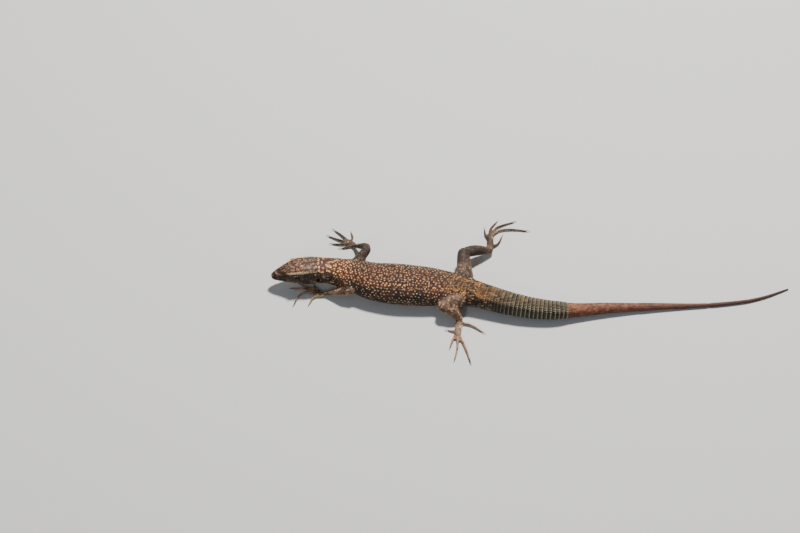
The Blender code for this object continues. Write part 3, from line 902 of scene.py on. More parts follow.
granule = bead(6)
round_granule = bead(8)
whorl_scale = plate(4, 4, keel=0.45, hind=0.5, lip=True)
flat_plate = plate(3, 4, hind=0.25)
toe_scute = plate(2, 4, hind=0.5)
lamella = plate(1, 4, hind=0.6)
for title, shape in (("granule", granule), ("whorl scale", whorl_scale), ("toe scute", toe_scute)):
    note(f"{title}: {len(shape.faces)} triangles")

# %% Rows of scales
generator = np.random.default_rng(7)
PATCH = 0.003                   # size of a scale's place on the bake map
BODY_ON_MAP = (0.01, 0.01, 0.98, 0.98)      # where the body lies on it: low corner and size
TUCK = 1.12                     # a scale is this much longer than its row, and lies over the next
SIDE_GAP = 0.98                 # and this much narrower than its share of the row
TIP_GAIN = 1.18                 # the free end of a scale is this much lighter
UNREST = 0.06                   # how far a scale strays from its place in the row, of its size


class Bed:
    """Scales of one shape that are joined into one piece."""

    def __init__(self, name, slot, shape):
        self.name = name
        self.slot = slot
        self.shape = shape
        self.parts = []

    def add(self, points, colour, tip_colour, uv):
        self.parts.append((points, colour, tip_colour, uv))

    def count(self):
        return sum(len(points) for points, _, _, _ in self.parts)


def bend_to_skin(shape, chart, s, u, length, width, height):
    """Corners of a shape at each root, bent to the chart's skin."""
    x = shape.corners[:, 0] * chart.lie
    y = shape.corners[:, 1] * chart.lie
    girth = chart.girth(s)
    at_s = s[:, None] + x * length[:, None]
    at_u = u[:, None] + y * width[:, None] / girth[:, None]
    points, normals, _ = chart.place(at_s, at_u)
    return points + normals * (shape.corners[:, 2] * height[:, None])[..., None]


def colour_at(chart, s, u):
    if chart is body:
        return body_colour(s, u)
    return leg_colour(chart, s, u)


def lay(bed, chart, s, u, length, width, height, uv_box=BODY_ON_MAP, tip_colour=None):
    """Lay scales at these roots unless they are inside another part."""
    seen = ~chart.is_hidden(s, u)
    s, u, length, width, height = (
        np.broadcast_to(measure, seen.shape)[seen] for measure in (s, u, length, width, height)
    )
    if not len(s):
        return
    points = bend_to_skin(bed.shape, chart, s, u, length, width, height)
    colour = colour_at(chart, s, u) * (0.78 + 0.44 * chance(s * 3.1, u * 91.7))[:, None]
    tips = colour * TIP_GAIN if tip_colour is None else tip_colour[seen]
    low_u, low_v, wide, high = uv_box
    uv = np.column_stack([
        low_u + wide * np.clip(s / chart.length, 0, 1), low_v + high * np.mod(u, 1.0)
    ])
    bed.add(points, colour, tips, uv)


def staggered_rows(chart, start, end, length_at, width_at, edge_at=lambda s: 0.0, quantum=2, step=0.86):
    """Roots of rows of scales: s, u, length and width. Each row is shifted by half a scale.

    Rows go all the way round, or from an edge on the left over the back to one on the right."""
    roots = []
    s = start
    row = 0
    while s < end:
        edge = edge_at(s)
        share = 1 - edge - edge
        span = share * float(chart.girth(s))
        length = float(length_at(s))
        count = max(quantum, int(round(span / float(width_at(s)) / quantum)) * quantum)
        steps = np.arange(count) + 0.5 * (row % 2)
        wobble = generator.uniform(-UNREST, UNREST, (2, count))
        u = edge + (steps + 0.25 + wobble[0]) / count * share
        roots.append(np.column_stack([
            s + wobble[1] * length, u, np.full(count, length), np.full(count, span / count)
        ]))
        s += length * step
        row += 1
    return np.vstack(roots).T


def lay_rows(bed, chart, rows, height, uv_box=BODY_ON_MAP):
    """Lay scales at roots from staggered_rows."""
    s, u, length, width = rows
    lay(bed, chart, s, u, length * TUCK, width * SIDE_GAP, height, uv_box)


# %% [markdown]
# ## Back, flanks and neck
# The back and flanks carry beads of about 0.42 millimetres, some sixty-five across the
# middle of the trunk. They run in slanting rows like bricks. Each row is counted from the
# girth there, so the beads stay the same size where the trunk narrows.

# %% Back and flanks
BEAD = 0.44
BEAD_HEIGHT = 0.13


def belly_edge(s):
    """Turn at which the belly plates end and the beads of the flank begin."""
    return BELLY_SHARE * ramp(s, SHOULDER - 3.2, SHOULDER - 2.4) * (1 - ramp(s, VENT + 1, VENT + 3))


def bead_length(s):
    return BEAD * (0.84 + 0.16 * ramp(s, 0, SHOULDER)) + 0.2 * ramp(s, VENT - 5, VENT + 4)


def bead_width(s):
    return BEAD * (0.84 + 0.12 * ramp(s, 0, SHOULDER)) + 0.12 * ramp(s, VENT - 5, VENT + 4)


trunk_beds = [
    Bed("scales_neck_and_shoulders", "skin_body", granule),
    Bed("scales_trunk_front", "skin_body", granule),
    Bed("scales_trunk_back", "skin_body", granule),
]
rows = staggered_rows(body, 1.5, WHORLS_FROM - 0.3, bead_length, bead_width, belly_edge, 4)
thirds = np.digitize(rows[0], [SHOULDER + 8, SHOULDER + 26])
for third, bed in enumerate(trunk_beds):
    chosen = rows[:, thirds == third]
    lay_rows(bed, body, chosen, BEAD_HEIGHT * chosen[2] / BEAD)
    note(f"{bed.name}: {bed.count()} scales")

# %% [markdown]
# ## Belly
# Under the trunk lie six rows of smooth, nearly square plates, each overlapping the next
# like tiles, and a collar of nine plates crosses the throat.

# %% Belly plates
PLATE_LENGTH = 1.65
PLATE_HEIGHT = 0.09
BELLY_ON_MAP = (0.01, 0.25, 0.98, 0.5)
COLLAR_PLATES = 9
COLLAR_PLATE_LENGTH = 1.3
COLLAR_HEIGHT = 0.17
COLLAR_REACH = 0.15             # turn from the middle of the throat to the collar's end
PLATE_SHARES = (0.15, 0.175, 0.175, 0.175, 0.175, 0.15)
belly_bed = Bed("belly_plates", "skin_body", flat_plate)
plate_edges = np.cumsum((0,) + PLATE_SHARES) - 0.5
plate_rows = np.arange(SHOULDER - 2.6, VENT + 1.6, PLATE_LENGTH * 0.92)
edge = belly_edge(plate_rows)
keep = edge > 0.05
for near, far in zip(plate_edges, plate_edges[1:]):
    u = (near + far) * edge
    width = (far - near) * 2 * edge * body.girth(plate_rows) * 0.97
    lay(belly_bed, body, plate_rows[keep], u[keep], PLATE_LENGTH, width[keep], PLATE_HEIGHT, BELLY_ON_MAP)
collar_u = np.linspace(-COLLAR_REACH, COLLAR_REACH, COLLAR_PLATES)
collar_s = SHOULDER - 3.9 + 9 * np.abs(collar_u)
collar_width = 2 * COLLAR_REACH * body.girth(collar_s) / (COLLAR_PLATES - 1) * 1.02
lay(belly_bed, body, collar_s, collar_u, COLLAR_PLATE_LENGTH, collar_width, COLLAR_HEIGHT, BELLY_ON_MAP)
note(f"{belly_bed.name}: {belly_bed.count()} plates, {COLLAR_PLATES} of them the collar")

# %% [markdown]
# ## Tail
# The old part of the tail has rings of long keeled scales, one ring to each bone, and the
# pale hind edges of the rings show as thin lines. Behind the break the regrown part has
# much finer scales in close rings, which get smaller to the tip.

# %% Tail scales
WHORL = 1.35                    # length of a ring of scales
FIRST_WHORL = 0.75              # the first rings are short, like the beads in front of them
WHORL_WIDTH = 0.56
WHORL_HEIGHT = 0.15
whorl_bed = Bed("scales_tail_rings", "skin_old_tail", whorl_scale)
whorl_edges = [WHORLS_FROM]
while whorl_edges[-1] < BREAK - WHORL / 2:
    growth = ramp(whorl_edges[-1], WHORLS_FROM - 2, WHORLS_FROM + 10)
    whorl_edges.append(whorl_edges[-1] + FIRST_WHORL + (WHORL - FIRST_WHORL) * float(growth))
whorl_edges = np.interp(whorl_edges, (WHORLS_FROM, whorl_edges[-1]), (WHORLS_FROM, BREAK))
whorl_count = len(whorl_edges) - 1
for row, (front, hind) in enumerate(zip(whorl_edges, whorl_edges[1:])):
    s_row = (front + hind) / 2
    pitch = hind - front
    count = int(round(float(body.girth(s_row)) / WHORL_WIDTH / 2)) * 2
    u = (np.arange(count) + 0.5 * (row % 2)) / count
    s = np.full(count, s_row) + 0.05 * (chance(np.arange(count), row) - 0.5)
    colour = body_colour(s, u)
    off_middle = 0.32 + 0.68 * ramp(np.abs(u - 0.5), 0.02, 0.16)
    lit = off_middle * (0.35 + 0.65 * ramp(s_row, RINGED - 4, RINGED + 4))
    tips = mix(colour, RING, lit * (0.75 + 0.25 * chance(np.arange(count), row, 3)))
    width = float(body.girth(s_row)) / count * 0.97
    lay(whorl_bed, body, s, u, pitch * 1.1, width, WHORL_HEIGHT, tip_colour=tips)
note(f"{whorl_bed.name}: {whorl_count} rings, {whorl_bed.count()} scales")

regrown_beds = [
    Bed("scales_regrown_tail_root", "skin_regrown_tail", granule),
    Bed("scales_regrown_tail_end", "skin_regrown_tail", granule),
]


def regrown_length(s):
    return 0.66 - 0.26 * ramp(s, BREAK, TAIL_END)


def regrown_width(s):
    return 0.46 - 0.18 * ramp(s, BREAK, TAIL_END)


rows = staggered_rows(body, BREAK + 0.2, TAIL_END - 0.15, regrown_length, regrown_width, step=0.84)
halves = (rows[0] > BREAK + 22).astype(int)
for half, bed in enumerate(regrown_beds):
    chosen = rows[:, halves == half]
    lay_rows(bed, body, chosen, 0.13 - 0.085 * ramp(chosen[0], BREAK, TAIL_END - 25))
    note(f"{bed.name}: {bed.count()} scales")

# %% [markdown]
# ## Legs and toes
# Legs have beads like those of the back, a little smaller. A toe has a single row of wide
# scutes along its top, narrow scales down its sides and a row of short lamellae under it,
# which is what lets the animal hold on to a wall.

# %% Scales of the legs
leg_beds = {
    pair: Bed(f"scales_{pair}s", "skin_limbs", granule) for pair in ("foreleg", "hindleg")
}
LEG_BEAD = {"upper": 0.44, "lower": 0.4}
for column, limb in enumerate(LIMBS):
    pair = limb.split("_")[0]
    for half, part in enumerate(("upper", "lower")):
        chart = charts[f"{limb}_{part}"]
        size = LEG_BEAD[part]
        rows = staggered_rows(chart, 0.0, chart.length + 0.2, lambda s: size, lambda s: size)
        uv_box = (0.02 + 0.5 * (column % 2), 0.02 + 0.5 * half, 0.46, 0.46)
        lay_rows(leg_beds[pair], chart, rows, rows[2] * 0.27, uv_box)
for bed in leg_beds.values():
    note(f"{bed.name}: {bed.count()} scales")

# %% Toes
toe_beds = {
    "top": Bed("toe_scutes", "skin_limbs", toe_scute),
    "side": Bed("toe_side_scales", "skin_limbs", toe_scute),
    "sole": Bed("toe_lamellae", "skin_limbs", lamella),
}
SCUTE = 0.52
SCUTE_HEIGHT = 0.06
toe_rows = {                    # turn round the toe and share of its girth
    "top": [(0.5, 0.4)],
    "side": [(0.2, 0.19), (0.8, 0.19)],
    "sole": [(0.0, 0.22)],
}
for column, limb in enumerate(LIMBS):
    for digit in range(1, 6):
        chart = charts[f"{limb}_digit_{digit}"]
        count = max(4, int(round(chart.length / SCUTE)))
        step = chart.length / count
        for part, bed in toe_beds.items():
            for middle, share in toe_rows[part]:
                offset = 0.25 if part == "side" else 0.0
                s = np.minimum(np.arange(count + 1) + offset, count - 0.42) * step
                u = np.full(count + 1, middle)
                uv_box = (0.01 + 0.25 * column, 0.01 + 0.195 * (digit - 1), 0.22, 0.18)
                lay(bed, chart, s, u, step * TUCK, share * chart.girth(s), SCUTE_HEIGHT, uv_box)
for bed in toe_beds.values():
    note(f"{bed.name}: {bed.count()} scales")

# %% [markdown]
# ## Head shields
# On the head the scales are large shields with names and fixed places, the same in every
# wall lizard: the frontal between the eyes, the parietals behind, a row of labials along
# each lip. Each shield is given by its corners in head measures, how far behind the snout
# and how far to the side or how high, and one half is mirrored to the other. The outline is
# drawn in a bit for the seam between shields, its corners are rounded, and rings are inset
# to the middle, so that the shield can bend with the skull when it is laid on the skin.

# %% Head measures
head_bm = solid_of(["head"])
snout_x = min(vertex.co.x for vertex in head_bm.verts)
snout_points = [vertex.co.copy() for vertex in head_bm.verts if vertex.co.x < snout_x + 0.4]
head_bm.free()
snout = sum(snout_points, Vector()) / len(snout_points)
between_eyes = (eye_centres["left"] + eye_centres["right"]) / 2
axis_fit = np.polyfit([snout_x, between_eyes.x, nape.x], [snout.y, between_eyes.y, nape.y], 2)
EYE_BACK = between_eyes.x - snout_x     # from the snout to the eyes
EYE_HEIGHT = between_eyes.z
note(f"eyes {EYE_BACK:.1f} mm behind the snout, {EYE_HEIGHT:.1f} mm high")

LID_SPHERE = 1.76               # radius of the lids round the eyeball's centre
EAR_BACK = 16.2                 # behind the snout
EAR_HEIGHT = 5.9
NOSTRIL_BACK = 1.3
NOSTRIL_HEIGHT = 5.75
OUTSIDE = 20                    # rays at the head start this far from its middle line
OVERHEAD = 30                   # or this high,
IN_MOUTH = 4.2                  # and those for the throat start inside the head


def head_frame(back):
    """A point on the head's middle line at floor level, the way back and the way to the right."""
    x = snout_x + back
    slope = np.polyval(np.polyder(axis_fit), x)
    behind = Vector((1, slope, 0)).normalized()
    return Vector((x, np.polyval(axis_fit, x), 0)), behind, Vector((-behind.y, behind.x, 0))


def hit_skin(origin, heading):
    """Where a ray meets the skin, and the normal there."""
    place = skin_tree.ray_cast(origin, heading)[0]
    return on_skin(place or origin + heading * OUTSIDE)[:2]


def from_above(back, aside):
    middle, _, right = head_frame(back)
    return hit_skin(middle + right * aside + UP * OVERHEAD, -UP)


def from_below(back, aside):
    middle, _, right = head_frame(back)
    return hit_skin(middle + right * aside + UP * IN_MOUTH, -UP)


def from_left(back, height):
    middle, _, right = head_frame(back)
    return hit_skin(middle - right * OUTSIDE + UP * height, right)


def from_right(back, height):
    middle, _, right = head_frame(back)
    return hit_skin(middle + right * OUTSIDE + UP * height, -right)


def from_front(aside, height):
    middle, behind, right = head_frame(0)
    return hit_skin(middle - behind * OUTSIDE + right * aside + UP * height, behind)


def head_measures(points):
    """For points in millimetres: how far behind the snout, to the right of the middle, and high."""
    points = np.asarray(points)
    back = points[..., 0] - snout_x
    aside = points[..., 1] - np.polyval(axis_fit, points[..., 0])
    return back, aside, points[..., 2]


# %% Nostrils and ear openings
NOSTRIL_PIT = 0.5
EAR_PIT = 0.5
openings = [                    # where, how wide the skin round it is made finer, and how often
    (EAR_BACK, EAR_HEIGHT, 1.15, 1),
    (NOSTRIL_BACK, NOSTRIL_HEIGHT, 0.45, 2),
]
for back, height, reach, rounds in openings:
    for _ in range(rounds):
        near_opening = [
            edge for edge in skin.edges
            if math.hypot(edge.verts[0].co.x - snout_x - back, edge.verts[0].co.z - height) < reach
        ]
        bmesh.ops.subdivide_edges(skin, edges=near_opening, cuts=1, use_grid_fill=True)
skin.verts.ensure_lookup_table()
skin.verts.index_update()
skin.normal_update()
for vertex in skin.verts:
    back, aside, height = head_measures(vertex.co)
    if abs(aside) > 0.5 and height > 4:
        nostril = math.hypot(back - NOSTRIL_BACK, height - NOSTRIL_HEIGHT) / 0.3
        ear = math.hypot((back - EAR_BACK) / 0.78, (height - EAR_HEIGHT) / 1.05)
        pit = NOSTRIL_PIT * float(1 - ramp(nostril, 0.3, 1.0)) + EAR_PIT * float(1 - ramp(ear, 0.5, 1.0))
        vertex.co -= vertex.normal * pit
note(f"nostrils and ear openings pressed in, {len(skin.verts)} points")

# %% Markings of the head
CROWN_BROWN = srgb(86, 56, 39)
CROWN_PALE = srgb(158, 112, 82)
CROWN_DARK = srgb(34, 22, 15)
BROW = srgb(240, 206, 168)
# CHEEK, CHEEK_FLECK and LIP are the head's own dark side colours, deepened with painted shade
CHEEK = srgb(28, 21, 17)
CHEEK_FLECK = srgb(104, 85, 65)
LIP = srgb(106, 91, 70)
# painted shade, nearly black, for the mouth's seam, the nostrils and the ear openings
MOUTH_AND_PIT_SHADE = srgb(18, 12, 10) * 0.6
CROWN_EDGE = [                  # behind the snout, and how far to the side
    (0.0, 0.4), (2.3, 1.35), (4.1, 1.9), (6.1, 2.55), (8.1, 3.2), (10.1, 3.35), (13.1, 3.3), (18.0, 2.9),
]
MOUTH_LINE = [(0.0, 4.62), (4.1, 4.38), (7.6, 4.3), (10.4, 4.45), (12.4, 4.95)]     # and how high


def along_table(table, back):
    return np.interp(back, [row[0] for row in table], [row[1] for row in table])


def head_colour(points):
    """Colour of the head: mottled brown crown, pale brow line, dark cheek deepened with painted shade, cream
    throat.
    """
    back, aside, height = head_measures(points)
    edge = along_table(CROWN_EDGE, back)
    mouth = along_table(MOUTH_LINE, back)
    coarse = mottle(points, 1.5, 21)
    fine = mottle(points, 0.55, 22)
    speck = ramp(mottle(points, 0.42, 23), 0.6, 0.72)
    crown = mix(CROWN_BROWN, CROWN_PALE, 0.3 + 0.5 * ramp(coarse, 0.2, 0.8))
    crown = mix(crown, CROWN_DARK, 0.92 * ramp(mottle(points, 0.48, 24), 0.38, 0.55))
    far, _, pick = dots(back, aside, 1.15, 0.95, 28, 0.4)
    crown = mix(crown, BROW, 0.45 * (1 - ramp(far, 0.1, 0.32)) * ramp(pick, 0.3, 0.9) * ramp(back, 4, 9))
    cheek = mix(CHEEK, CROWN_BROWN, 0.5 * coarse)
    cheek = mix(cheek, CHEEK_FLECK, 0.75 * ramp(fine, 0.62, 0.76) * ramp(9.0 - height, 0, 2))
    off_crown = ramp(np.abs(aside) + 0.25 * (fine - 0.5), edge - 0.05, edge + 0.3)
    colour = mix(crown, cheek, off_crown)
    brow = np.exp(-(((np.abs(aside) - edge) / 0.2) ** 2)) * ramp(back, 4.6, 6.5) * ramp(height, 7.2, 8.2)
    brow = brow * (1 - 0.6 * ramp(back, 10, 14))
    colour = mix(colour, BROW, brow * (0.5 + 0.5 * ramp(fine, 0.2, 0.45)))
    lip_zone = ramp(height, mouth - 1.1, mouth - 0.6) * (1 - ramp(height, mouth + 0.6, mouth + 1.15))
    bars = ramp(mottle(np.stack([back * 1.0, aside * 0.3, height * 0.3], axis=-1), 0.8, 25), 0.42, 0.62)
    lips = mix(CHEEK, LIP, bars) * (0.85 + 0.3 * fine)[..., None]
    colour = mix(colour, lips, lip_zone * (1 - ramp(back, 12.5, 15)))
    under = 1 - ramp(height, 3.3, 4.1)
    throat = mix(THROAT, BELLY_SPECK, 0.8 * speck * ramp(np.abs(aside), 0.5, 2.5))
    return mix(colour, throat, under)


note_colour("crown", head_colour([from_above(back, 0)[0] for back in np.linspace(2, 14, 40)]))


# %% Shield maker
SEAM = 0.05                     # half the seam between two shields
SHIELD_HEIGHT = 0.12


class ShieldSet:
    """Shields that are joined into one piece."""

    def __init__(self, name, slot):
        self.name = name
        self.slot = slot
        self.points = []
        self.faces = []
        self.relief = []
        self.spans = []

    def add(self, corners, spot, rounding=0.14, rim=0.1):
        """Raise a shield from its outline; spot finds the place and normal of its head measures."""
        bm = bmesh.new()
        face = bm.faces.new([bm.verts.new((x, y, SUNK)) for x, y in corners])
        face.normal_update()
        if face.normal.z < 0:
            face.normal_flip()
        bmesh.ops.inset_individual(bm, faces=[face], thickness=SEAM, use_even_offset=True)
        bmesh.ops.delete(bm, geom=[other for other in bm.faces if other is not face], context="FACES")
        bmesh.ops.bevel(
            bm, geom=list(face.verts), offset=rounding, offset_type="OFFSET", segments=2,
            profile=0.5, affect="VERTICES", clamp_overlap=True, material=-1,
        )
        face = bm.faces[:][0]
        base = [loop.vert for loop in face.loops]
        bmesh.ops.inset_individual(bm, faces=[face], thickness=0, depth=0.35 - SUNK)
        bmesh.ops.inset_individual(bm, faces=[face], thickness=rim, depth=0.5, use_even_offset=False)
        for share, rise in ((0.72, 0.1), (0.55, 0.05)):
            bmesh.ops.inset_individual(bm, faces=[face], thickness=0, depth=rise)
            middle = face.calc_center_median()
            bmesh.ops.scale(
                bm, vec=(share, share, 1), space=Matrix.Translation(-middle), verts=list(face.verts)
            )
        bmesh.ops.poke(bm, faces=[face])
        bm.faces.new(base[::-1])
        bmesh.ops.triangulate(bm, faces=bm.faces)
        bmesh.ops.subdivide_edges(bm, edges=bm.edges, cuts=1)
        bmesh.ops.triangulate(bm, faces=bm.faces)
        bmesh.ops.recalc_face_normals(bm, faces=bm.faces)
        bm.verts.index_update()
        bm.normal_update()
        start = len(self.points)
        for vertex in bm.verts:
            place, normal = spot(vertex.co.x, vertex.co.y)
            self.points.append(place + normal * vertex.co.z * SHIELD_HEIGHT)
            self.relief.append(float(ramp(vertex.co.z, -0.1, 0.8)))
        self.faces += [[start + vertex.index for vertex in one.verts] for one in bm.faces]
        crown = max(bm.faces, key=lambda one: one.calc_center_median().z)
        middle = sum((self.points[start + vertex.index] for vertex in crown.verts), Vector()) / 3
        self.spans.append((start, len(self.points), middle))
        bm.free()

    def add_pair(self, corners, spot=from_above, **how):
        """A shield and its mirror image over the head's middle line."""
        self.add(corners, spot, **how)
        self.add([(back, -aside) for back, aside in corners], spot, **how)

    def add_sides(self, corners):
        """The same shield on the left and the right side of the head."""
        self.add(corners, from_left)
        self.add(corners, from_right)


def mirrored(half):
    """A whole outline from its right half, which starts and ends on the middle line."""
    return half + [(back, -aside) for back, aside in half[::-1] if aside > 0]


# %% Shields of the crown
shields = ShieldSet("head_shields", "skin_head")
shields.add([(-0.7, 4.76), (0.7, 4.76), (0.8, 5.2), (0.32, 5.62), (-0.32, 5.62), (-0.8, 5.2)], from_front)
crown_single = {
    "frontonasal": [(1.75, 0), (2.0, 0.55), (2.75, 1.2), (3.6, 1.1), (4.0, 0)],
    "frontal": [(5.35, 0), (5.75, 1.15), (8.1, 0.85), (9.3, 0.9), (9.9, 0)],
    "interparietal": [(11.2, 0), (11.5, 0.6), (13.3, 0.42), (13.3, 0)],
    "occipital": [(13.3, 0), (13.3, 0.42), (14.7, 0.8), (15.3, 0.6), (15.4, 0)],
}
crown_pairs = {
    "supranasal": [(0.42, 0), (0.55, 0.42), (1.1, 0.82), (1.6, 0.88), (2.0, 0.55), (1.75, 0)],
    "prefrontal": [(4.0, 0), (3.6, 1.1), (3.2, 1.25), (3.4, 1.55), (5.45, 2.0), (5.75, 1.15), (5.35, 0)],
    "supraocular_1": [(5.75, 1.15), (5.45, 2.0), (6.35, 2.2), (6.6, 1.05)],
    "supraocular_2": [(6.6, 1.05), (6.35, 2.2), (8.15, 2.75), (8.1, 0.85)],
    "supraocular_3": [(8.1, 0.85), (8.15, 2.75), (9.8, 2.88), (9.8, 1.45), (9.3, 0.9)],
    "supraocular_4": [(9.8, 1.45), (9.8, 2.88), (10.6, 2.8), (10.8, 1.75)],
    "frontoparietal": [(9.9, 0), (9.3, 0.9), (9.8, 1.45), (10.8, 1.75), (11.5, 0.6), (11.2, 0)],
    "parietal": [
        (11.5, 0.6), (10.8, 1.75), (10.65, 2.85), (12.2, 3.1), (14.2, 3.05), (15.6, 2.5),
        (15.9, 1.6), (15.3, 0.6), (14.7, 0.8), (13.3, 0.42),
    ],
}
for half in crown_single.values():
    shields.add(mirrored(half), from_above)
for corners in crown_pairs.values():
    shields.add_pair(corners)
SUPRACILIARIES = 6
BROW_WIDTH = 0.36
BROW_SLANT = 0.12
BROW_OVERHANG = 0.06            # how far these shields stand out over the crown's edge
brow_steps = np.linspace(5.5, 10.9, SUPRACILIARIES + 1)
for front, hind in zip(brow_steps, brow_steps[1:]):
    outer_front = float(along_table(CROWN_EDGE, front)) + BROW_OVERHANG
    outer_hind = float(along_table(CROWN_EDGE, hind)) + BROW_OVERHANG
    shields.add_pair([
        (front, outer_front - BROW_WIDTH), (front - BROW_SLANT, outer_front),
        (hind - BROW_SLANT, outer_hind), (hind, outer_hind - BROW_WIDTH),
    ], rounding=0.08, rim=0.07)
note(f"crown: {len(shields.spans)} shields")


# %% Shields of the sides and lips
def mouth_at(back):
    return float(along_table(MOUTH_LINE, back))


upper_lip = [0.42, 1.7, 3.1, 4.6, 6.2]
for front, hind in zip(upper_lip, upper_lip[1:]):
    shields.add_sides([(front, mouth_at(front)), (front, 5.3), (hind, 5.38), (hind, mouth_at(hind))])
shields.add_sides([     # the shield under the eye reaches the lip between the labials
    (6.2, mouth_at(6.2)), (6.2, 5.38), (6.9, 5.5), (8.1, 5.3), (9.3, 5.5), (9.9, 5.62), (9.4, mouth_at(9.4)),
])
shields.add_sides([(9.4, mouth_at(9.4)), (9.9, 5.62), (11.0, 5.75), (10.8, mouth_at(10.8))])
shields.add_sides([(10.8, mouth_at(10.8)), (11.0, 5.75), (12.3, 5.95), (12.3, mouth_at(12.3))])
lower_lip = [0.5, 1.9, 3.6, 5.4, 7.3, 9.3, 11.4]
for front, hind in zip(lower_lip, lower_lip[1:]):
    shields.add_sides([(front, mouth_at(front)), (front, 3.72), (hind, 3.55), (hind, mouth_at(hind))])
side_shields = {
    "postnasal": [(1.8, 5.34), (1.75, 5.95), (2.35, 6.1), (2.45, 5.36)],
    "front_loreal": [(2.45, 5.34), (2.35, 6.0), (3.5, 6.3), (3.6, 5.36)],
    "hind_loreal": [(3.6, 5.36), (3.5, 6.3), (5.3, 7.05), (6.0, 6.7), (6.15, 5.42)],
    "supratemporal_1": [(11.0, 8.3), (10.95, 8.85), (12.4, 8.95), (12.5, 8.3)],
    "supratemporal_2": [(12.5, 8.3), (12.4, 8.95), (13.8, 8.95), (13.9, 8.3)],
    "supratemporal_3": [(13.9, 8.3), (13.8, 8.95), (15.2, 8.8), (15.2, 8.2)],
    "tympanic": [(14.6, 6.5), (14.6, 7.3), (15.3, 7.35), (15.45, 6.6)],
    "masseteric": [
        (12.9 + 0.85 * math.cos(turn), 6.95 + 0.75 * math.sin(turn))
        for turn in np.linspace(0, 2 * math.pi, 9)[:-1]
    ],
}
for corners in side_shields.values():
    shields.add_sides(corners)
chin_tip = [(-0.65, 4.48), (0.65, 4.48), (0.85, 4.2), (0.45, 3.92), (-0.45, 3.92), (-0.85, 4.2)]
shields.add(chin_tip, from_front)
chin_pairs = [
    [(1.15, 0), (1.1, 0.5), (2.9, 1.2), (2.9, 0)],
    [(2.9, 0), (2.9, 1.2), (4.8, 1.65), (4.8, 0)],
    [(4.8, 0), (4.8, 1.65), (7.0, 2.2), (6.9, 0.8), (6.4, 0)],
    [(6.9, 0.8), (7.0, 2.2), (9.1, 2.65), (8.8, 1.5)],
    [(8.8, 1.5), (9.1, 2.65), (11.0, 3.0), (10.6, 2.2)],
]
for corners in chin_pairs:
    shields.add_pair(corners, from_below)
note(f"head: {len(shields.spans)} shields, {len(shields.faces)} triangles")

# %% [markdown]
# ## Granules where no row or shield lies
# The lids, temples, throat, palms, soles and the creases where legs join the body have tiny
# bead-like scales in no clear rows. Every skin point that is still bare is a place for one.
# The places are taken in a random but fixed order, and one is dropped when an earlier
# granule is too near, which spreads them as evenly as on the animal.

# %% Where each place of the skin is on the charts
chart_names = list(charts)
chart_where = []
chart_index = KDTree(sum(chart.hidden.size for chart in charts.values()))
for name in chart_names:
    chart = charts[name]
    for i, k in zip(*np.nonzero(~chart.hidden)):
        chart_index.insert(chart.points[i, k], len(chart_where))
        chart_where.append((name, i * chart.stride, k / chart.columns))
chart_index.balance()
note(f"{len(chart_where)} places on {len(charts)} charts")


def by_chart(points):
    """Sort places by the chart they are on: name, their numbers, and their s and u."""
    found = {name: ([], [], []) for name in chart_names}
    for number, point in enumerate(points):
        name, s, u = chart_where[chart_index.find(point)[1]]
        for values, value in zip(found[name], (number, s, u)):
            values.append(value)
    for name, (numbers, s, u) in found.items():
        if numbers:
            yield name, np.array(numbers), np.array(s), np.array(u)


HEAD_TO_NECK = (13.0, 15.8)     # behind the snout, where the head's markings give way


def skin_colours(points):
    """Colour of the markings, with their painted light and shade, at any places on the skin."""
    points = np.array(points)
    colours = np.zeros((len(points), 3))
    for name, numbers, s, u in by_chart(points):
        if name in ("body", "head"):
            back = head_measures(points[numbers])[0]
            # The head's chart runs the other way, so its turns are mirrored
            behind = body_colour(s, u) if name == "body" else body_colour(-s, 1 - u)
            colours[numbers] = mix(head_colour(points[numbers]), behind, ramp(back, *HEAD_TO_NECK))
        else:
            colours[numbers] = leg_colour(charts[name], s, u)
    return colours


# %% Bare skin
TRIES = 12                      # places tried on each bare face of the skin
FACE_CLEAR = 0.3                # a face this near to the root of another scale isn't bare
ROOT_CLEAR = 0.38               # no granule grows nearer than this to such a root
SHIELD_CLEAR = 0.15             # or this near to a shield
CELL = 0.5                      # granules are looked up in cells of this size
GRANULE_WIDTH = 1.36            # of its spacing, so that neighbours meet
GRANULE_HEIGHT = 0.26
GRANULE_TIP = 1.12              # the free end of a granule is this much lighter
SAME_CREASE = 1.4               # granules this near to another scale take its colour
covered = BVHTree.FromPolygons(shields.points, shields.faces)
row_beds = [*trunk_beds, belly_bed, whorl_bed, *regrown_beds, *leg_beds.values(), *toe_beds.values()]
taken = [
    part[0].mean(axis=1) if bed.shape is granule else part[0].reshape(-1, 3)
    for bed in row_beds for part in bed.parts
]
taken = np.concatenate(taken)
rooted = KDTree(len(taken))
for number, root in enumerate(taken):
    rooted.insert(root, number)
rooted.balance()
eye_out = (eye_centres["left"] - eye_centres["right"]).normalized()
eye_outward = {"left": eye_out, "right": -eye_out}


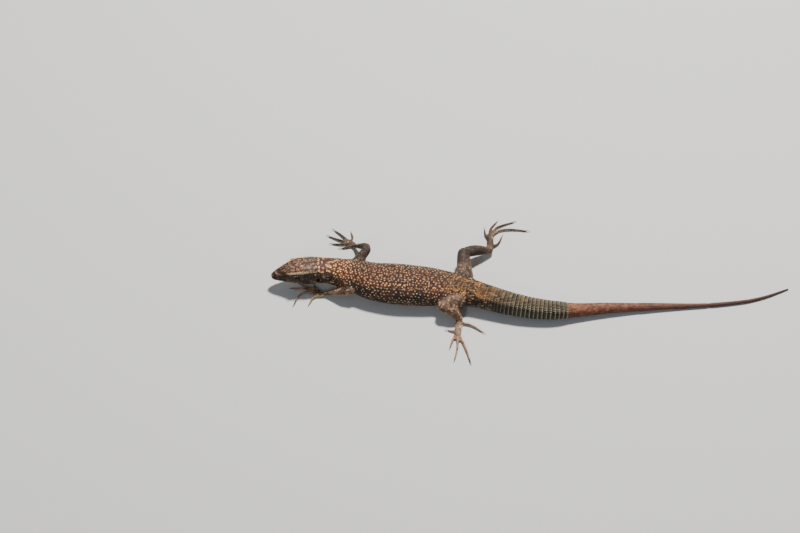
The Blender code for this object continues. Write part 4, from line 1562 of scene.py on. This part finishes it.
def granule_spacing(places):
    """Spacing of granules at places on the skin, 0 where none grow."""
    back, aside, height = head_measures(places)
    eye = np.min([np.linalg.norm(places - centre, axis=1) for centre in eye_centres.values()], axis=0)
    ear = np.hypot((back - EAR_BACK) / 0.62, (height - EAR_HEIGHT) / 0.85)
    nostril = np.hypot(back - NOSTRIL_BACK, height - NOSTRIL_HEIGHT)
    spacing = np.where(height > 4, 0.38, 0.46)
    spacing = np.where(back < 7, 0.3, spacing)
    spacing = np.where(eye < LID_SPHERE + 0.15, 0.24, spacing)
    mouth = np.abs(height - along_table(MOUTH_LINE, back))
    spacing = np.where(places[:, 0] > COLLAR_X + 0.6, 0.37, spacing)
    in_socket = eye < LID_SPHERE - 0.1
    in_ear = (ear < 1.15) & (height > 4)
    in_nostril = (nostril < 0.42) & (np.abs(aside) > 0.5)
    in_mouth = (mouth < 0.28) & (back < 12.2)
    return np.where(in_socket | in_ear | in_nostril | in_mouth, 0.0, spacing)


# %% Places for granules
def bare_places():
    """Random places on bare faces of the skin with their normals, in mixed order."""
    faces = [face.verts[:] for face in skin.faces]
    middles = np.array([sum((vertex.co for vertex in verts), Vector()) / len(verts) for verts in faces])
    wanted = granule_spacing(middles) > 0
    faces = [
        verts for verts, middle, want in zip(faces, middles, wanted)
        if want and rooted.find(middle)[2] > FACE_CLEAR
    ]
    corners = np.array([[vertex.co for vertex in (verts + verts[:1])[:4]] for verts in faces])
    facings = np.array([[vertex.normal for vertex in (verts + verts[:1])[:4]] for verts in faces])
    x, y = generator.random((2, len(faces), TRIES))
    shares = np.stack([(1 - x) * (1 - y), x * (1 - y), x * y, (1 - x) * y], axis=-1)
    places = np.einsum("ftc,fcd->ftd", shares, corners).reshape(-1, 3)
    normals = np.einsum("ftc,fcd->ftd", shares, facings).reshape(-1, 3)
    mixed = generator.permutation(len(places))
    return places[mixed], normals[mixed] / np.linalg.norm(normals[mixed], axis=1, keepdims=True)


def spread_granules():
    """Places, normals and spacings of granules; one too near an earlier one is dropped."""
    places, normals = bare_places()
    spacings = granule_spacing(places)
    cells = {}
    chosen = []
    for number in np.nonzero(spacings)[0]:
        place = Vector(places[number])
        if rooted.find(place)[2] < ROOT_CLEAR:
            continue
        if place.x < COLLAR_X + 1 and covered.find_nearest(place, SHIELD_CLEAR)[0] is not None:
            continue
        cell = tuple(int(math.floor(value / CELL)) for value in place)
        around = itertools.product(*[(value - 1, value, value + 1) for value in cell])
        spacing = spacings[number]
        if any((place - other).length < spacing for near in around for other in cells.get(near, ())):
            continue
        cells.setdefault(cell, []).append(place)
        chosen.append(number)
    return places[chosen], normals[chosen], spacings[chosen]


# %% Laying the granules
def lay_loose(bed, places, normals, headings, sizes, colours, uv):
    """Lay rigid scales, each turned to its own normal and heading."""
    across = np.cross(normals, headings)
    across /= np.linalg.norm(across, axis=1, keepdims=True) + 1e-9
    along = np.cross(across, normals)
    shape = bed.shape.corners
    width = (sizes * GRANULE_WIDTH)[:, None, None]
    points = (
        places[:, None]
        + along[:, None] * shape[None, :, :1] * width
        + across[:, None] * shape[None, :, 1:2] * width
        + normals[:, None] * shape[None, :, 2:] * (GRANULE_HEIGHT * sizes)[:, None, None]
    )
    bed.add(points, colours, colours * GRANULE_TIP, uv)


granule_places, granule_normals, granule_sizes = spread_granules()
granule_tint = 0.9 + 0.2 * chance(granule_places[:, 0] * 9.1, granule_places[:, 1] * 5.3)
scale_colours = np.concatenate([
    part[1] if bed.shape is granule else np.repeat(part[1], part[0].shape[1], axis=0)
    for bed in row_beds for part in bed.parts
])
granule_colours = skin_colours(granule_places)
for number, place in enumerate(granule_places):
    _, nearest, gap = rooted.find(place)
    if gap < SAME_CREASE:
        granule_colours[number] = scale_colours[nearest]
granule_colours *= granule_tint[:, None]
loose_beds = {
    "head": Bed("head_granules", "skin_head", round_granule),
    "body": Bed("crease_granules", "skin_body", round_granule),
    "limb": Bed("palm_granules", "skin_limbs", round_granule),
}
for name, numbers, s, u in by_chart(granule_places):
    chart = charts[name]
    headings = chart.place(s, u)[2] * chart.lie
    if name in ("head", "body"):
        kind = name
        low_u, low_v, wide, high = 0.01, 0.01, 0.97, 0.97
    else:
        kind = "limb"
        column = next(number for number, limb in enumerate(LIMBS) if name.startswith(limb))
        row = int(name[-1]) + 1 if "digit" in name else int(name.endswith("lower"))
        low_u, low_v, wide, high = 0.01 + 0.25 * column, 0.01 + 0.14 * row, 0.23, 0.13
    uv = np.column_stack([low_u + wide * s / chart.length, low_v + high * u])
    lay_loose(loose_beds[kind], granule_places[numbers], granule_normals[numbers], headings,
              granule_sizes[numbers], granule_colours[numbers], uv)
for bed in loose_beds.values():
    note(f"{bed.name}: {bed.count()} granules")

# %% [markdown]
# ## Eyes and lids
# The eye sits in a socket and only the part between the lids shows. A lizard's lids are
# scaly and end in a thick rim. The rim is a round cord, spun as a ring whose points are
# then set on the lids' own sphere, so it follows their bulge and hides the socket's edge.
# The eyeball is smooth and wet. Its pupil and its rings of colour depend on the angle from
# the middle of the eye, which is stored on its points.

# %% Lid rims
LID_HALF_LENGTH = 1.24
LID_HALF_HEIGHT = 0.88
RIM_RADIUS = 0.085
RIM_SIDES = 10
RIM_STEPS = 56
RIM_SINK = 0.12                 # the rim's middle lies this far under the lids' sphere


def lid_rim(side):
    """A torus-like cord along the edge of the lids, in millimetres."""
    out = eye_outward[side]
    along = Vector((out.y, -out.x, 0)).normalized()
    bm = bmesh.new()
    bmesh.ops.create_circle(bm, cap_ends=False, segments=RIM_SIDES, radius=RIM_RADIUS)
    bmesh.ops.spin(
        bm, geom=bm.verts[:] + bm.edges[:], cent=Vector((1, 0, 0)), axis=Vector((0, 1, 0)),
        angle=2 * math.pi, steps=RIM_STEPS, use_merge=True,
    )
    for vertex in bm.verts:
        from_middle = vertex.co - Vector((1, 0, 0))
        turn = math.atan2(from_middle.z, -from_middle.x)
        swell = math.hypot(from_middle.x, from_middle.z) - 1
        depth = vertex.co.y
        corner = abs(math.cos(turn)) ** 6
        reach = Vector((
            (LID_HALF_LENGTH + 0.1 * corner + swell) * math.cos(turn),
            (LID_HALF_HEIGHT * (1 - 0.1 * corner) + swell) * math.sin(turn),
        ))
        lift = math.sqrt(max(0.1, (LID_SPHERE - RIM_SINK) ** 2 - reach.length_squared))
        vertex.co = eye_centres[side] + along * reach.x + UP * reach.y + out * (lift + depth)
    bmesh.ops.recalc_face_normals(bm, faces=bm.faces)
    return bm


lid_rims = {side: lid_rim(side) for side in eye_centres}
note(f"lid rims: {sum(len(bm.faces) for bm in lid_rims.values())} faces")


# %% Eyeballs
def eyeball(side):
    """A fine ball in the socket, with its pole turned to where the eye looks."""
    bm = bmesh.new()
    bmesh.ops.create_uvsphere(bm, u_segments=48, v_segments=32, radius=EYE_RADIUS)
    turn = Vector((0, 0, 1)).rotation_difference(eye_outward[side]).to_matrix().to_4x4()
    bmesh.ops.transform(bm, matrix=Matrix.Translation(eye_centres[side]) @ turn, verts=bm.verts)
    return bm


# %% [markdown]
# ## Claws
# A claw is a thin, flattened horn that curves down to a sharp point. Each is a cone cut
# into short lengths, whose rings are then moved onto a curve from inside the toe's end,
# over a hump, to the tip.

# %% Claws
CLAW_WIDTH = 0.15
CLAW_DEPTH = 0.24
CLAW_CUTS = 8


def claw_shape(root, tip):
    bm = bmesh.new()
    bmesh.ops.create_cone(
        bm, cap_ends=True, segments=12, radius1=1.0, radius2=0.06, depth=1.0,
        matrix=Matrix.Translation((0, 0, 0.5)),
    )
    for cut in range(1, CLAW_CUTS):
        bmesh.ops.bisect_plane(
            bm, geom=bm.verts[:] + bm.edges[:] + bm.faces[:],
            plane_co=(0, 0, cut / CLAW_CUTS), plane_no=(0, 0, 1),
        )
    reach = tip - root
    start = root - reach.normalized() * 0.5 - UP * 0.06
    hump = root + reach * 0.55 + UP * 0.34 * reach.length
    side = reach.cross(UP).normalized()
    for vertex in bm.verts:
        t = vertex.co.z
        middle = start * (1 - t) ** 2 + hump * 2 * t * (1 - t) + tip * t ** 2
        heading = ((hump - start) * (1 - t) + (tip - hump) * t).normalized()
        rise = side.cross(heading)
        fat = float(np.interp(t, (0, 0.2, 0.6, 1), (0.6, 1.05, 1.1, 1)))
        vertex.co = (
            middle + side * vertex.co.x * CLAW_WIDTH * fat + rise * vertex.co.y * CLAW_DEPTH * fat
        )
    bmesh.ops.recalc_face_normals(bm, faces=bm.faces)
    return bm


claws = {name: claw_shape(*axis) for name, axis in claw_axis.items()}
note(f"claws: {len(claws)}, from {min((t - r).length for r, t in claw_axis.values()):.2f} to "
     f"{max((t - r).length for r, t in claw_axis.values()):.2f} mm long")

# %% [markdown]
# ## Finishes
# The colour attribute gives the pattern and some painted light and shade. A shader group
# adds what is the same on every scale: fine mottling, painted shade that darkens each scale
# towards its foot, and a faint grain. It is shared by the skin and all kinds of scales, and
# each material sets how glossy that kind is and how deep its painted shade goes.

# %% The shared finish
GRAIN_SCALE = 5200.0            # noise waves in a metre
SPECK_SCALE = 2800.0
GRAIN_BUMP = 0.12
GRAIN_DEPTH = 0.02 * MM
GRAIN_ROUGHNESS = 0.25


def new_socket(group, name, direction, kind, value=None):
    socket = group.interface.new_socket(name=name, in_out=direction, socket_type=kind)
    if value is not None:
        socket.default_value = value
    return socket


def noise_node(tree, scale, detail=2.0, distortion=0.0):
    """Noise that lies still on a piece, because it reads the piece's own coordinates."""
    place = tree.nodes.new("ShaderNodeTexCoord")
    noise = tree.nodes.new("ShaderNodeTexNoise")
    noise.inputs["Scale"].default_value = scale
    noise.inputs["Detail"].default_value = detail
    noise.inputs["Distortion"].default_value = distortion
    tree.links.new(place.outputs["Object"], noise.inputs["Vector"])
    return noise.outputs["Fac"]


def stored_value(tree, attribute, output="Fac"):
    """A value or colour that is stored on the points of a piece."""
    node = tree.nodes.new("ShaderNodeAttribute")
    node.attribute_name = attribute
    return node.outputs[output]


def math_node(tree, operation, *values):
    """A Math node on numbers and on what other nodes put out."""
    node = tree.nodes.new("ShaderNodeMath")
    node.operation = operation
    for socket, value in zip(node.inputs, values):
        if isinstance(value, float):
            socket.default_value = value
        else:
            tree.links.new(value, socket)
    return node.outputs["Value"]


def build_finish_group():
    group = bpy.data.node_groups.new("lizard_finish", "ShaderNodeTree")
    new_socket(group, "Crease shade", "INPUT", "NodeSocketFloat", 0.5)
    new_socket(group, "Roughness", "INPUT", "NodeSocketFloat", 0.45)
    new_socket(group, "Speckle", "INPUT", "NodeSocketFloat", 0.0)
    new_socket(group, "Colour", "OUTPUT", "NodeSocketColor")
    new_socket(group, "Roughness", "OUTPUT", "NodeSocketFloat")
    new_socket(group, "Height", "OUTPUT", "NodeSocketFloat")
    nodes = group.nodes
    links = group.links
    given = nodes.new("NodeGroupInput")
    out = nodes.new("NodeGroupOutput")
    grain = noise_node(group, GRAIN_SCALE, 3.0)
    tone = nodes.new("ShaderNodeMapRange")
    tone.inputs["From Min"].default_value = 0.3
    tone.inputs["From Max"].default_value = 0.7
    tone.inputs["To Min"].default_value = 0.82
    tone.inputs["To Max"].default_value = 1.16
    links.new(grain, tone.inputs["Value"])
    # Painted shade: the colour darkens towards each scale's foot, where the relief is low
    crease_shade = nodes.new("ShaderNodeMapRange")
    crease_shade.inputs["To Max"].default_value = 1.05
    links.new(stored_value(group, "relief"), crease_shade.inputs["Value"])
    links.new(given.outputs["Crease shade"], crease_shade.inputs["To Min"])
    # Dark worm-like specks, finer than the mesh could carry, for the head only
    speck = nodes.new("ShaderNodeMapRange")
    speck.interpolation_type = "SMOOTHSTEP"
    speck.inputs["From Min"].default_value = 0.44
    speck.inputs["From Max"].default_value = 0.6
    links.new(noise_node(group, SPECK_SCALE, 4.0, 0.6), speck.inputs["Value"])
    shade = math_node(group, "MULTIPLY", tone.outputs["Result"], crease_shade.outputs["Result"])
    amount = math_node(group, "MULTIPLY", speck.outputs["Result"], given.outputs["Speckle"])
    shade = math_node(group, "MULTIPLY", shade, math_node(group, "SUBTRACT", 1.0, amount))
    colour = nodes.new("ShaderNodeVectorMath")
    colour.operation = "SCALE"
    links.new(stored_value(group, "markings_and_painted_light", "Color"), colour.inputs[0])
    links.new(shade, colour.inputs["Scale"])
    links.new(colour.outputs["Vector"], out.inputs["Colour"])
    polish = math_node(group, "MULTIPLY_ADD", grain, GRAIN_ROUGHNESS, given.outputs["Roughness"])
    links.new(polish, out.inputs["Roughness"])
    links.new(grain, out.inputs["Height"])
    return group


finish_group = build_finish_group()


def scaly_paint(name, roughness, crease_shade, speckle=0.0):
    """Material of skin or scales in one place, with its own gloss and its own depth of painted shade at the
    foot of each scale.
    """
    paint = bpy.data.materials.new(name)
    paint.use_nodes = True
    nodes = paint.node_tree.nodes
    links = paint.node_tree.links
    shader = nodes["Principled BSDF"]
    shader.inputs["Specular IOR Level"].default_value = 0.35
    finish = nodes.new("ShaderNodeGroup")
    finish.node_tree = finish_group
    finish.inputs["Crease shade"].default_value = crease_shade
    finish.inputs["Roughness"].default_value = roughness
    finish.inputs["Speckle"].default_value = speckle
    links.new(finish.outputs["Colour"], shader.inputs["Base Color"])
    links.new(finish.outputs["Roughness"], shader.inputs["Roughness"])
    relief = nodes.new("ShaderNodeBump")
    relief.inputs["Strength"].default_value = GRAIN_BUMP
    relief.inputs["Distance"].default_value = GRAIN_DEPTH
    links.new(finish.outputs["Height"], relief.inputs["Height"])
    links.new(relief.outputs["Normal"], shader.inputs["Normal"])
    return paint


paints = {
    "skin_body": scaly_paint("scales_of_body", 0.38, 0.34),
    "skin_limbs": scaly_paint("scales_of_limbs", 0.42, 0.45),
    "skin_old_tail": scaly_paint("scales_of_old_tail", 0.36, 0.38),
    "skin_regrown_tail": scaly_paint("scales_of_regrown_tail", 0.38, 0.45),
    "skin_head": scaly_paint("scales_of_head", 0.4, 0.4, 0.25),
}
shield_paint = scaly_paint("shields_of_head", 0.5, 0.3, 0.7)
skin_paint = scaly_paint("bare_skin", 0.55, 0.7)
note(f"{len(paints) + 2} paints share the group {finish_group.name}")

# %% [markdown]
# ## Putting the pieces together
# Thousands of objects would be slow, so the scales of each bed become one mesh, with their
# colours, their relief and their place on the bake map. Bending can turn a scale inside
# out, so the volume inside each one tells whether to turn its faces over. The frame is
# then told what every piece rides on and replaces.


# %% Pieces from points
def finish_piece(piece, slot, nodes=()):
    """Tell the frame about a piece, once none of it is below the floor."""
    corners = np.zeros(3 * len(piece.data.vertices), dtype=np.float32)
    piece.data.vertices.foreach_get("co", corners)
    corners[2::3] = np.maximum(corners[2::3], 0)         # soles and belly rest flat on the floor
    piece.data.vertices.foreach_set("co", corners)
    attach(piece, ROOT)
    if nodes:
        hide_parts(*nodes)
    return piece


def set_attributes(mesh, colours, relief):
    markings_and_painted_light = mesh.color_attributes.new("markings_and_painted_light", "FLOAT_COLOR", "POINT")
    filled = np.ones((len(colours), 4), dtype=np.float32)
    filled[:, :3] = np.clip(colours, 0, 1)
    markings_and_painted_light.data.foreach_set("color", filled.ravel())
    height = mesh.attributes.new("relief", "FLOAT", "POINT")
    height.data.foreach_set("value", np.asarray(relief, dtype=np.float32))


def triangle_mesh(name, points, faces):
    """A smooth-shaded mesh in metres from points in millimetres and triangles."""
    mesh = bpy.data.meshes.new(name)
    mesh.vertices.add(len(points))
    mesh.vertices.foreach_set("co", (np.asarray(points, dtype=np.float32) * MM).ravel())
    mesh.loops.add(faces.size)
    mesh.loops.foreach_set("vertex_index", faces.ravel().astype(np.int32))
    mesh.polygons.add(len(faces))
    mesh.polygons.foreach_set("loop_start", np.arange(0, faces.size, 3, dtype=np.int32))
    mesh.polygons.foreach_set("loop_total", np.full(len(faces), 3, dtype=np.int32))
    mesh.update(calc_edges=True)
    mesh.shade_smooth()
    return mesh


def turned_outward(points, faces, owner):
    """The faces, turned over wherever the scale that owns them is inside out."""
    held = np.bincount(owner)
    centre = np.stack([np.bincount(owner, points[:, axis]) / held for axis in range(3)], axis=1)
    scale = owner[faces[:, 0]]
    corner = points[faces] - centre[scale][:, None]
    share = (corner[:, 0] * np.cross(corner[:, 1], corner[:, 2])).sum(axis=1)
    inward = np.bincount(scale, share)[scale] < 0
    faces = faces.copy()
    faces[inward] = faces[inward][:, ::-1]
    return faces


def coat_piece(name, slot, paint, points, faces, colours, relief, spots):
    """A piece of the coat from its points and triangles; spots are its points on the bake map."""
    mesh = triangle_mesh(name, points, faces)
    set_attributes(mesh, colours, relief)
    layer = mesh.uv_layers.new(name="OFBake")
    layer.data.foreach_set("uv", spots[faces.ravel()].astype(np.float32).ravel())
    mesh.materials.append(paint)
    finish_piece(link(bpy.data.objects.new(name, mesh)), slot)
    return len(faces)


# %% Beds of scales
def build_bed(bed):
    """Join a bed's scales into one piece."""
    shape = bed.shape
    points, colour, tips, uv = (np.concatenate(values) for values in zip(*bed.parts))
    number, size = points.shape[:2]
    points = points.reshape(-1, 3)
    faces = (shape.faces[None] + (np.arange(number) * size)[:, None, None]).reshape(-1, 3)
    faces = turned_outward(points, faces, np.repeat(np.arange(number), size))
    painted = colour[:, None] + (tips - colour)[:, None] * shape.tip[None, :, None]
    spots = uv[:, None] + shape.corners[None, :, :2] * PATCH
    return coat_piece(
        bed.name, bed.slot, paints[bed.slot], points, faces, painted.reshape(-1, 3),
        np.tile(shape.relief, number), spots.reshape(-1, 2),
    )


total = 0
for bed in row_beds + list(loose_beds.values()):
    triangles = build_bed(bed)
    total += triangles
    note(f"{bed.name}: {triangles} triangles")


# %% Head shields as a piece
def build_shields():
    """The head's shields as one piece; each keeps a patch of the bake map at its own middle."""
    faces = np.array(shields.faces)
    points = np.array(shields.points)
    lengths = [end - start for start, end, _ in shields.spans]
    faces = turned_outward(points, faces, np.repeat(np.arange(len(lengths)), lengths))
    spots = np.zeros((len(points), 2))
    for start, end, middle in shields.spans:
        _, _, s, u = next(by_chart([middle]))
        root = np.array([0.01 + 0.97 * s[0] / head_chart.length, 0.01 + 0.97 * u[0]])
        flat = points[start:end, :2] - points[start:end, :2].mean(axis=0)
        spots[start:end] = root + flat / (np.abs(flat).max() + 1e-9) * PATCH / 2
    return coat_piece(
        shields.name, shields.slot, shield_paint, points, faces, head_colour(points), shields.relief, spots
    )


total += build_shields()
note(f"coat in all: {total} triangles")


# %% Claws and lid rims
def piece_of(bm, name, material, slot, nodes=()):
    """Turn a bmesh in millimetres into a finished piece whose faces all look outward."""
    if bm.calc_volume(signed=True) < 0:
        bmesh.ops.reverse_faces(bm, faces=bm.faces)
    bmesh.ops.scale(bm, vec=(MM, MM, MM), verts=bm.verts)
    mesh = bpy.data.meshes.new(name)
    bm.to_mesh(mesh)
    bm.free()
    mesh.shade_smooth()
    mesh.materials.append(material)
    return finish_piece(link(bpy.data.objects.new(name, mesh)), slot, nodes)


def plain_paint(name, colour, roughness, coat=0.0):
    paint = bpy.data.materials.new(name)
    paint.use_nodes = True
    shader = paint.node_tree.nodes["Principled BSDF"]
    shader.inputs["Base Color"].default_value = (*colour, 1.0)
    shader.inputs["Roughness"].default_value = roughness
    shader.inputs["Coat Weight"].default_value = coat
    shader.inputs["Coat Roughness"].default_value = 0.04
    return paint


def mottled(paint, dark, light, scale):
    """Give a plain paint soft blotches between two colours."""
    nodes = paint.node_tree.nodes
    links = paint.node_tree.links
    colours = nodes.new("ShaderNodeValToRGB")
    colours.color_ramp.elements[0].position = 0.35
    colours.color_ramp.elements[0].color = (*dark, 1.0)
    colours.color_ramp.elements[1].position = 0.68
    colours.color_ramp.elements[1].color = (*light, 1.0)
    links.new(noise_node(paint.node_tree, scale), colours.inputs["Fac"])
    links.new(colours.outputs["Color"], nodes["Principled BSDF"].inputs["Base Color"])
    return paint


HORN = (0.05, 0.03, 0.02)
HORN_DARK = (0.03, 0.018, 0.012)
HORN_PALE = (0.10, 0.06, 0.035)
RIM = (0.2, 0.14, 0.1)
RIM_DARK = (0.07, 0.045, 0.03)
RIM_PALE = (0.27, 0.19, 0.13)
claw_paint = mottled(plain_paint("claw_horn", HORN, 0.3, 0.3), HORN_DARK, HORN_PALE, 2600)
rim_paint = mottled(plain_paint("lid_rim", RIM, 0.5), RIM_DARK, RIM_PALE, 2400)
for name, bm in claws.items():
    piece_of(bm, name.replace("claw", "horn"), claw_paint, "claw", [name])
for side, bm in lid_rims.items():
    piece_of(bm, f"lid_rim_{side}", rim_paint, "skin_head")
note(f"{len(claws)} claws and {len(lid_rims)} lid rims in place")


# %% Eyes
def eye_paint():
    """Black pupil, thin golden ring, brown iris and a wet clear surface."""
    paint = plain_paint("eye_wet", (0.05, 0.02, 0.01), 0.6, 0.35)
    paint.node_tree.nodes["Principled BSDF"].inputs["Specular IOR Level"].default_value = 0.0
    nodes = paint.node_tree.nodes
    links = paint.node_tree.links
    streaks = noise_node(paint.node_tree, 3000.0)
    gaze = stored_value(paint.node_tree, "gaze")
    uneven = math_node(paint.node_tree, "MULTIPLY_ADD", streaks, 0.008, gaze)
    rings = nodes.new("ShaderNodeValToRGB")
    steps = [
        (0.0, (0.002, 0.002, 0.002)), (0.27, (0.002, 0.002, 0.002)), (0.29, (0.30, 0.17, 0.055)),
        (0.315, (0.15, 0.07, 0.025)), (0.36, (0.05, 0.022, 0.011)), (0.62, (0.03, 0.014, 0.008)),
        (0.8, (0.02, 0.012, 0.01)),
    ]
    ramp_colours = rings.color_ramp.elements
    for position, colour in steps[2:]:
        ramp_colours.new(position)
    for stop, (position, colour) in zip(ramp_colours, steps):
        stop.position = position
        stop.color = (*colour, 1.0)
    links.new(uneven, rings.inputs["Fac"])
    links.new(rings.outputs["Color"], nodes["Principled BSDF"].inputs["Base Color"])
    return paint


wet_eye = eye_paint()
for side in eye_centres:
    piece = piece_of(eyeball(side), f"eyeball_{side}", wet_eye, "eye", [f"eye_{side}"])
    gaze = piece.data.attributes.new("gaze", "FLOAT", "POINT")
    middle = eye_centres[side] * MM
    angles = [(vertex.co - middle).angle(eye_outward[side]) for vertex in piece.data.vertices]
    gaze.data.foreach_set("value", np.array(angles, dtype=np.float32) / (math.pi / 2))
note(f"{len(eye_centres)} eyes in place")

# %% [markdown]
# ## The skin itself
# The skin comes last, because charts and scales were worked out from it. It shows as the
# dark seams between scales, so it has their markings, made a good deal darker as painted
# shade, and it is painted nearly black as shade in the mouth's seam, the nostrils and the
# ears. It replaces all the solids of flesh.

# %% Skin piece
# Painted shade: the skin between the scales is painted this much darker than the scales on it
SEAM_SHADE = 0.7                # the skin is this much darker than the scales on it
skin_points = [vertex.co.copy() for vertex in skin.verts]
skin_colour = skin_colours(skin_points)
back, aside, height = head_measures(np.array(skin_points))
# Painted shade: the mouth's seam, the nostrils and the ear openings are painted nearly black
at_mouth = 1 - ramp(np.abs(height - along_table(MOUTH_LINE, back)), 0.08, 0.2)
at_mouth *= 1 - ramp(back, 12.1, 12.7)
at_nostril = 1 - ramp(np.hypot(back - NOSTRIL_BACK, height - NOSTRIL_HEIGHT), 0.2, 0.32)
in_ear = 1 - ramp(np.hypot((back - EAR_BACK) / 0.62, (height - EAR_HEIGHT) / 0.95), 0.85, 1.1)
for share in (at_mouth, at_nostril * (np.abs(aside) > 0.5), in_ear * (height > 4)):
    skin_colour = mix(skin_colour, MOUTH_AND_PIT_SHADE, share)
skin_colour *= SEAM_SHADE
bmesh.ops.scale(skin, vec=(MM, MM, MM), verts=skin.verts)
skin_mesh = bpy.data.meshes.new("skin")
skin.to_mesh(skin_mesh)
skin_mesh.shade_smooth()
set_attributes(skin_mesh, skin_colour, np.full(len(skin_colour), 0.5))
skin_mesh.materials.append(skin_paint)
skin_piece = link(bpy.data.objects.new("skin", skin_mesh))
finish_piece(skin_piece, "skin_body", FLESH)
note(f"skin: {sum(len(face.vertices) - 2 for face in skin_mesh.polygons)} triangles")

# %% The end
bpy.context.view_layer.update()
note("done")
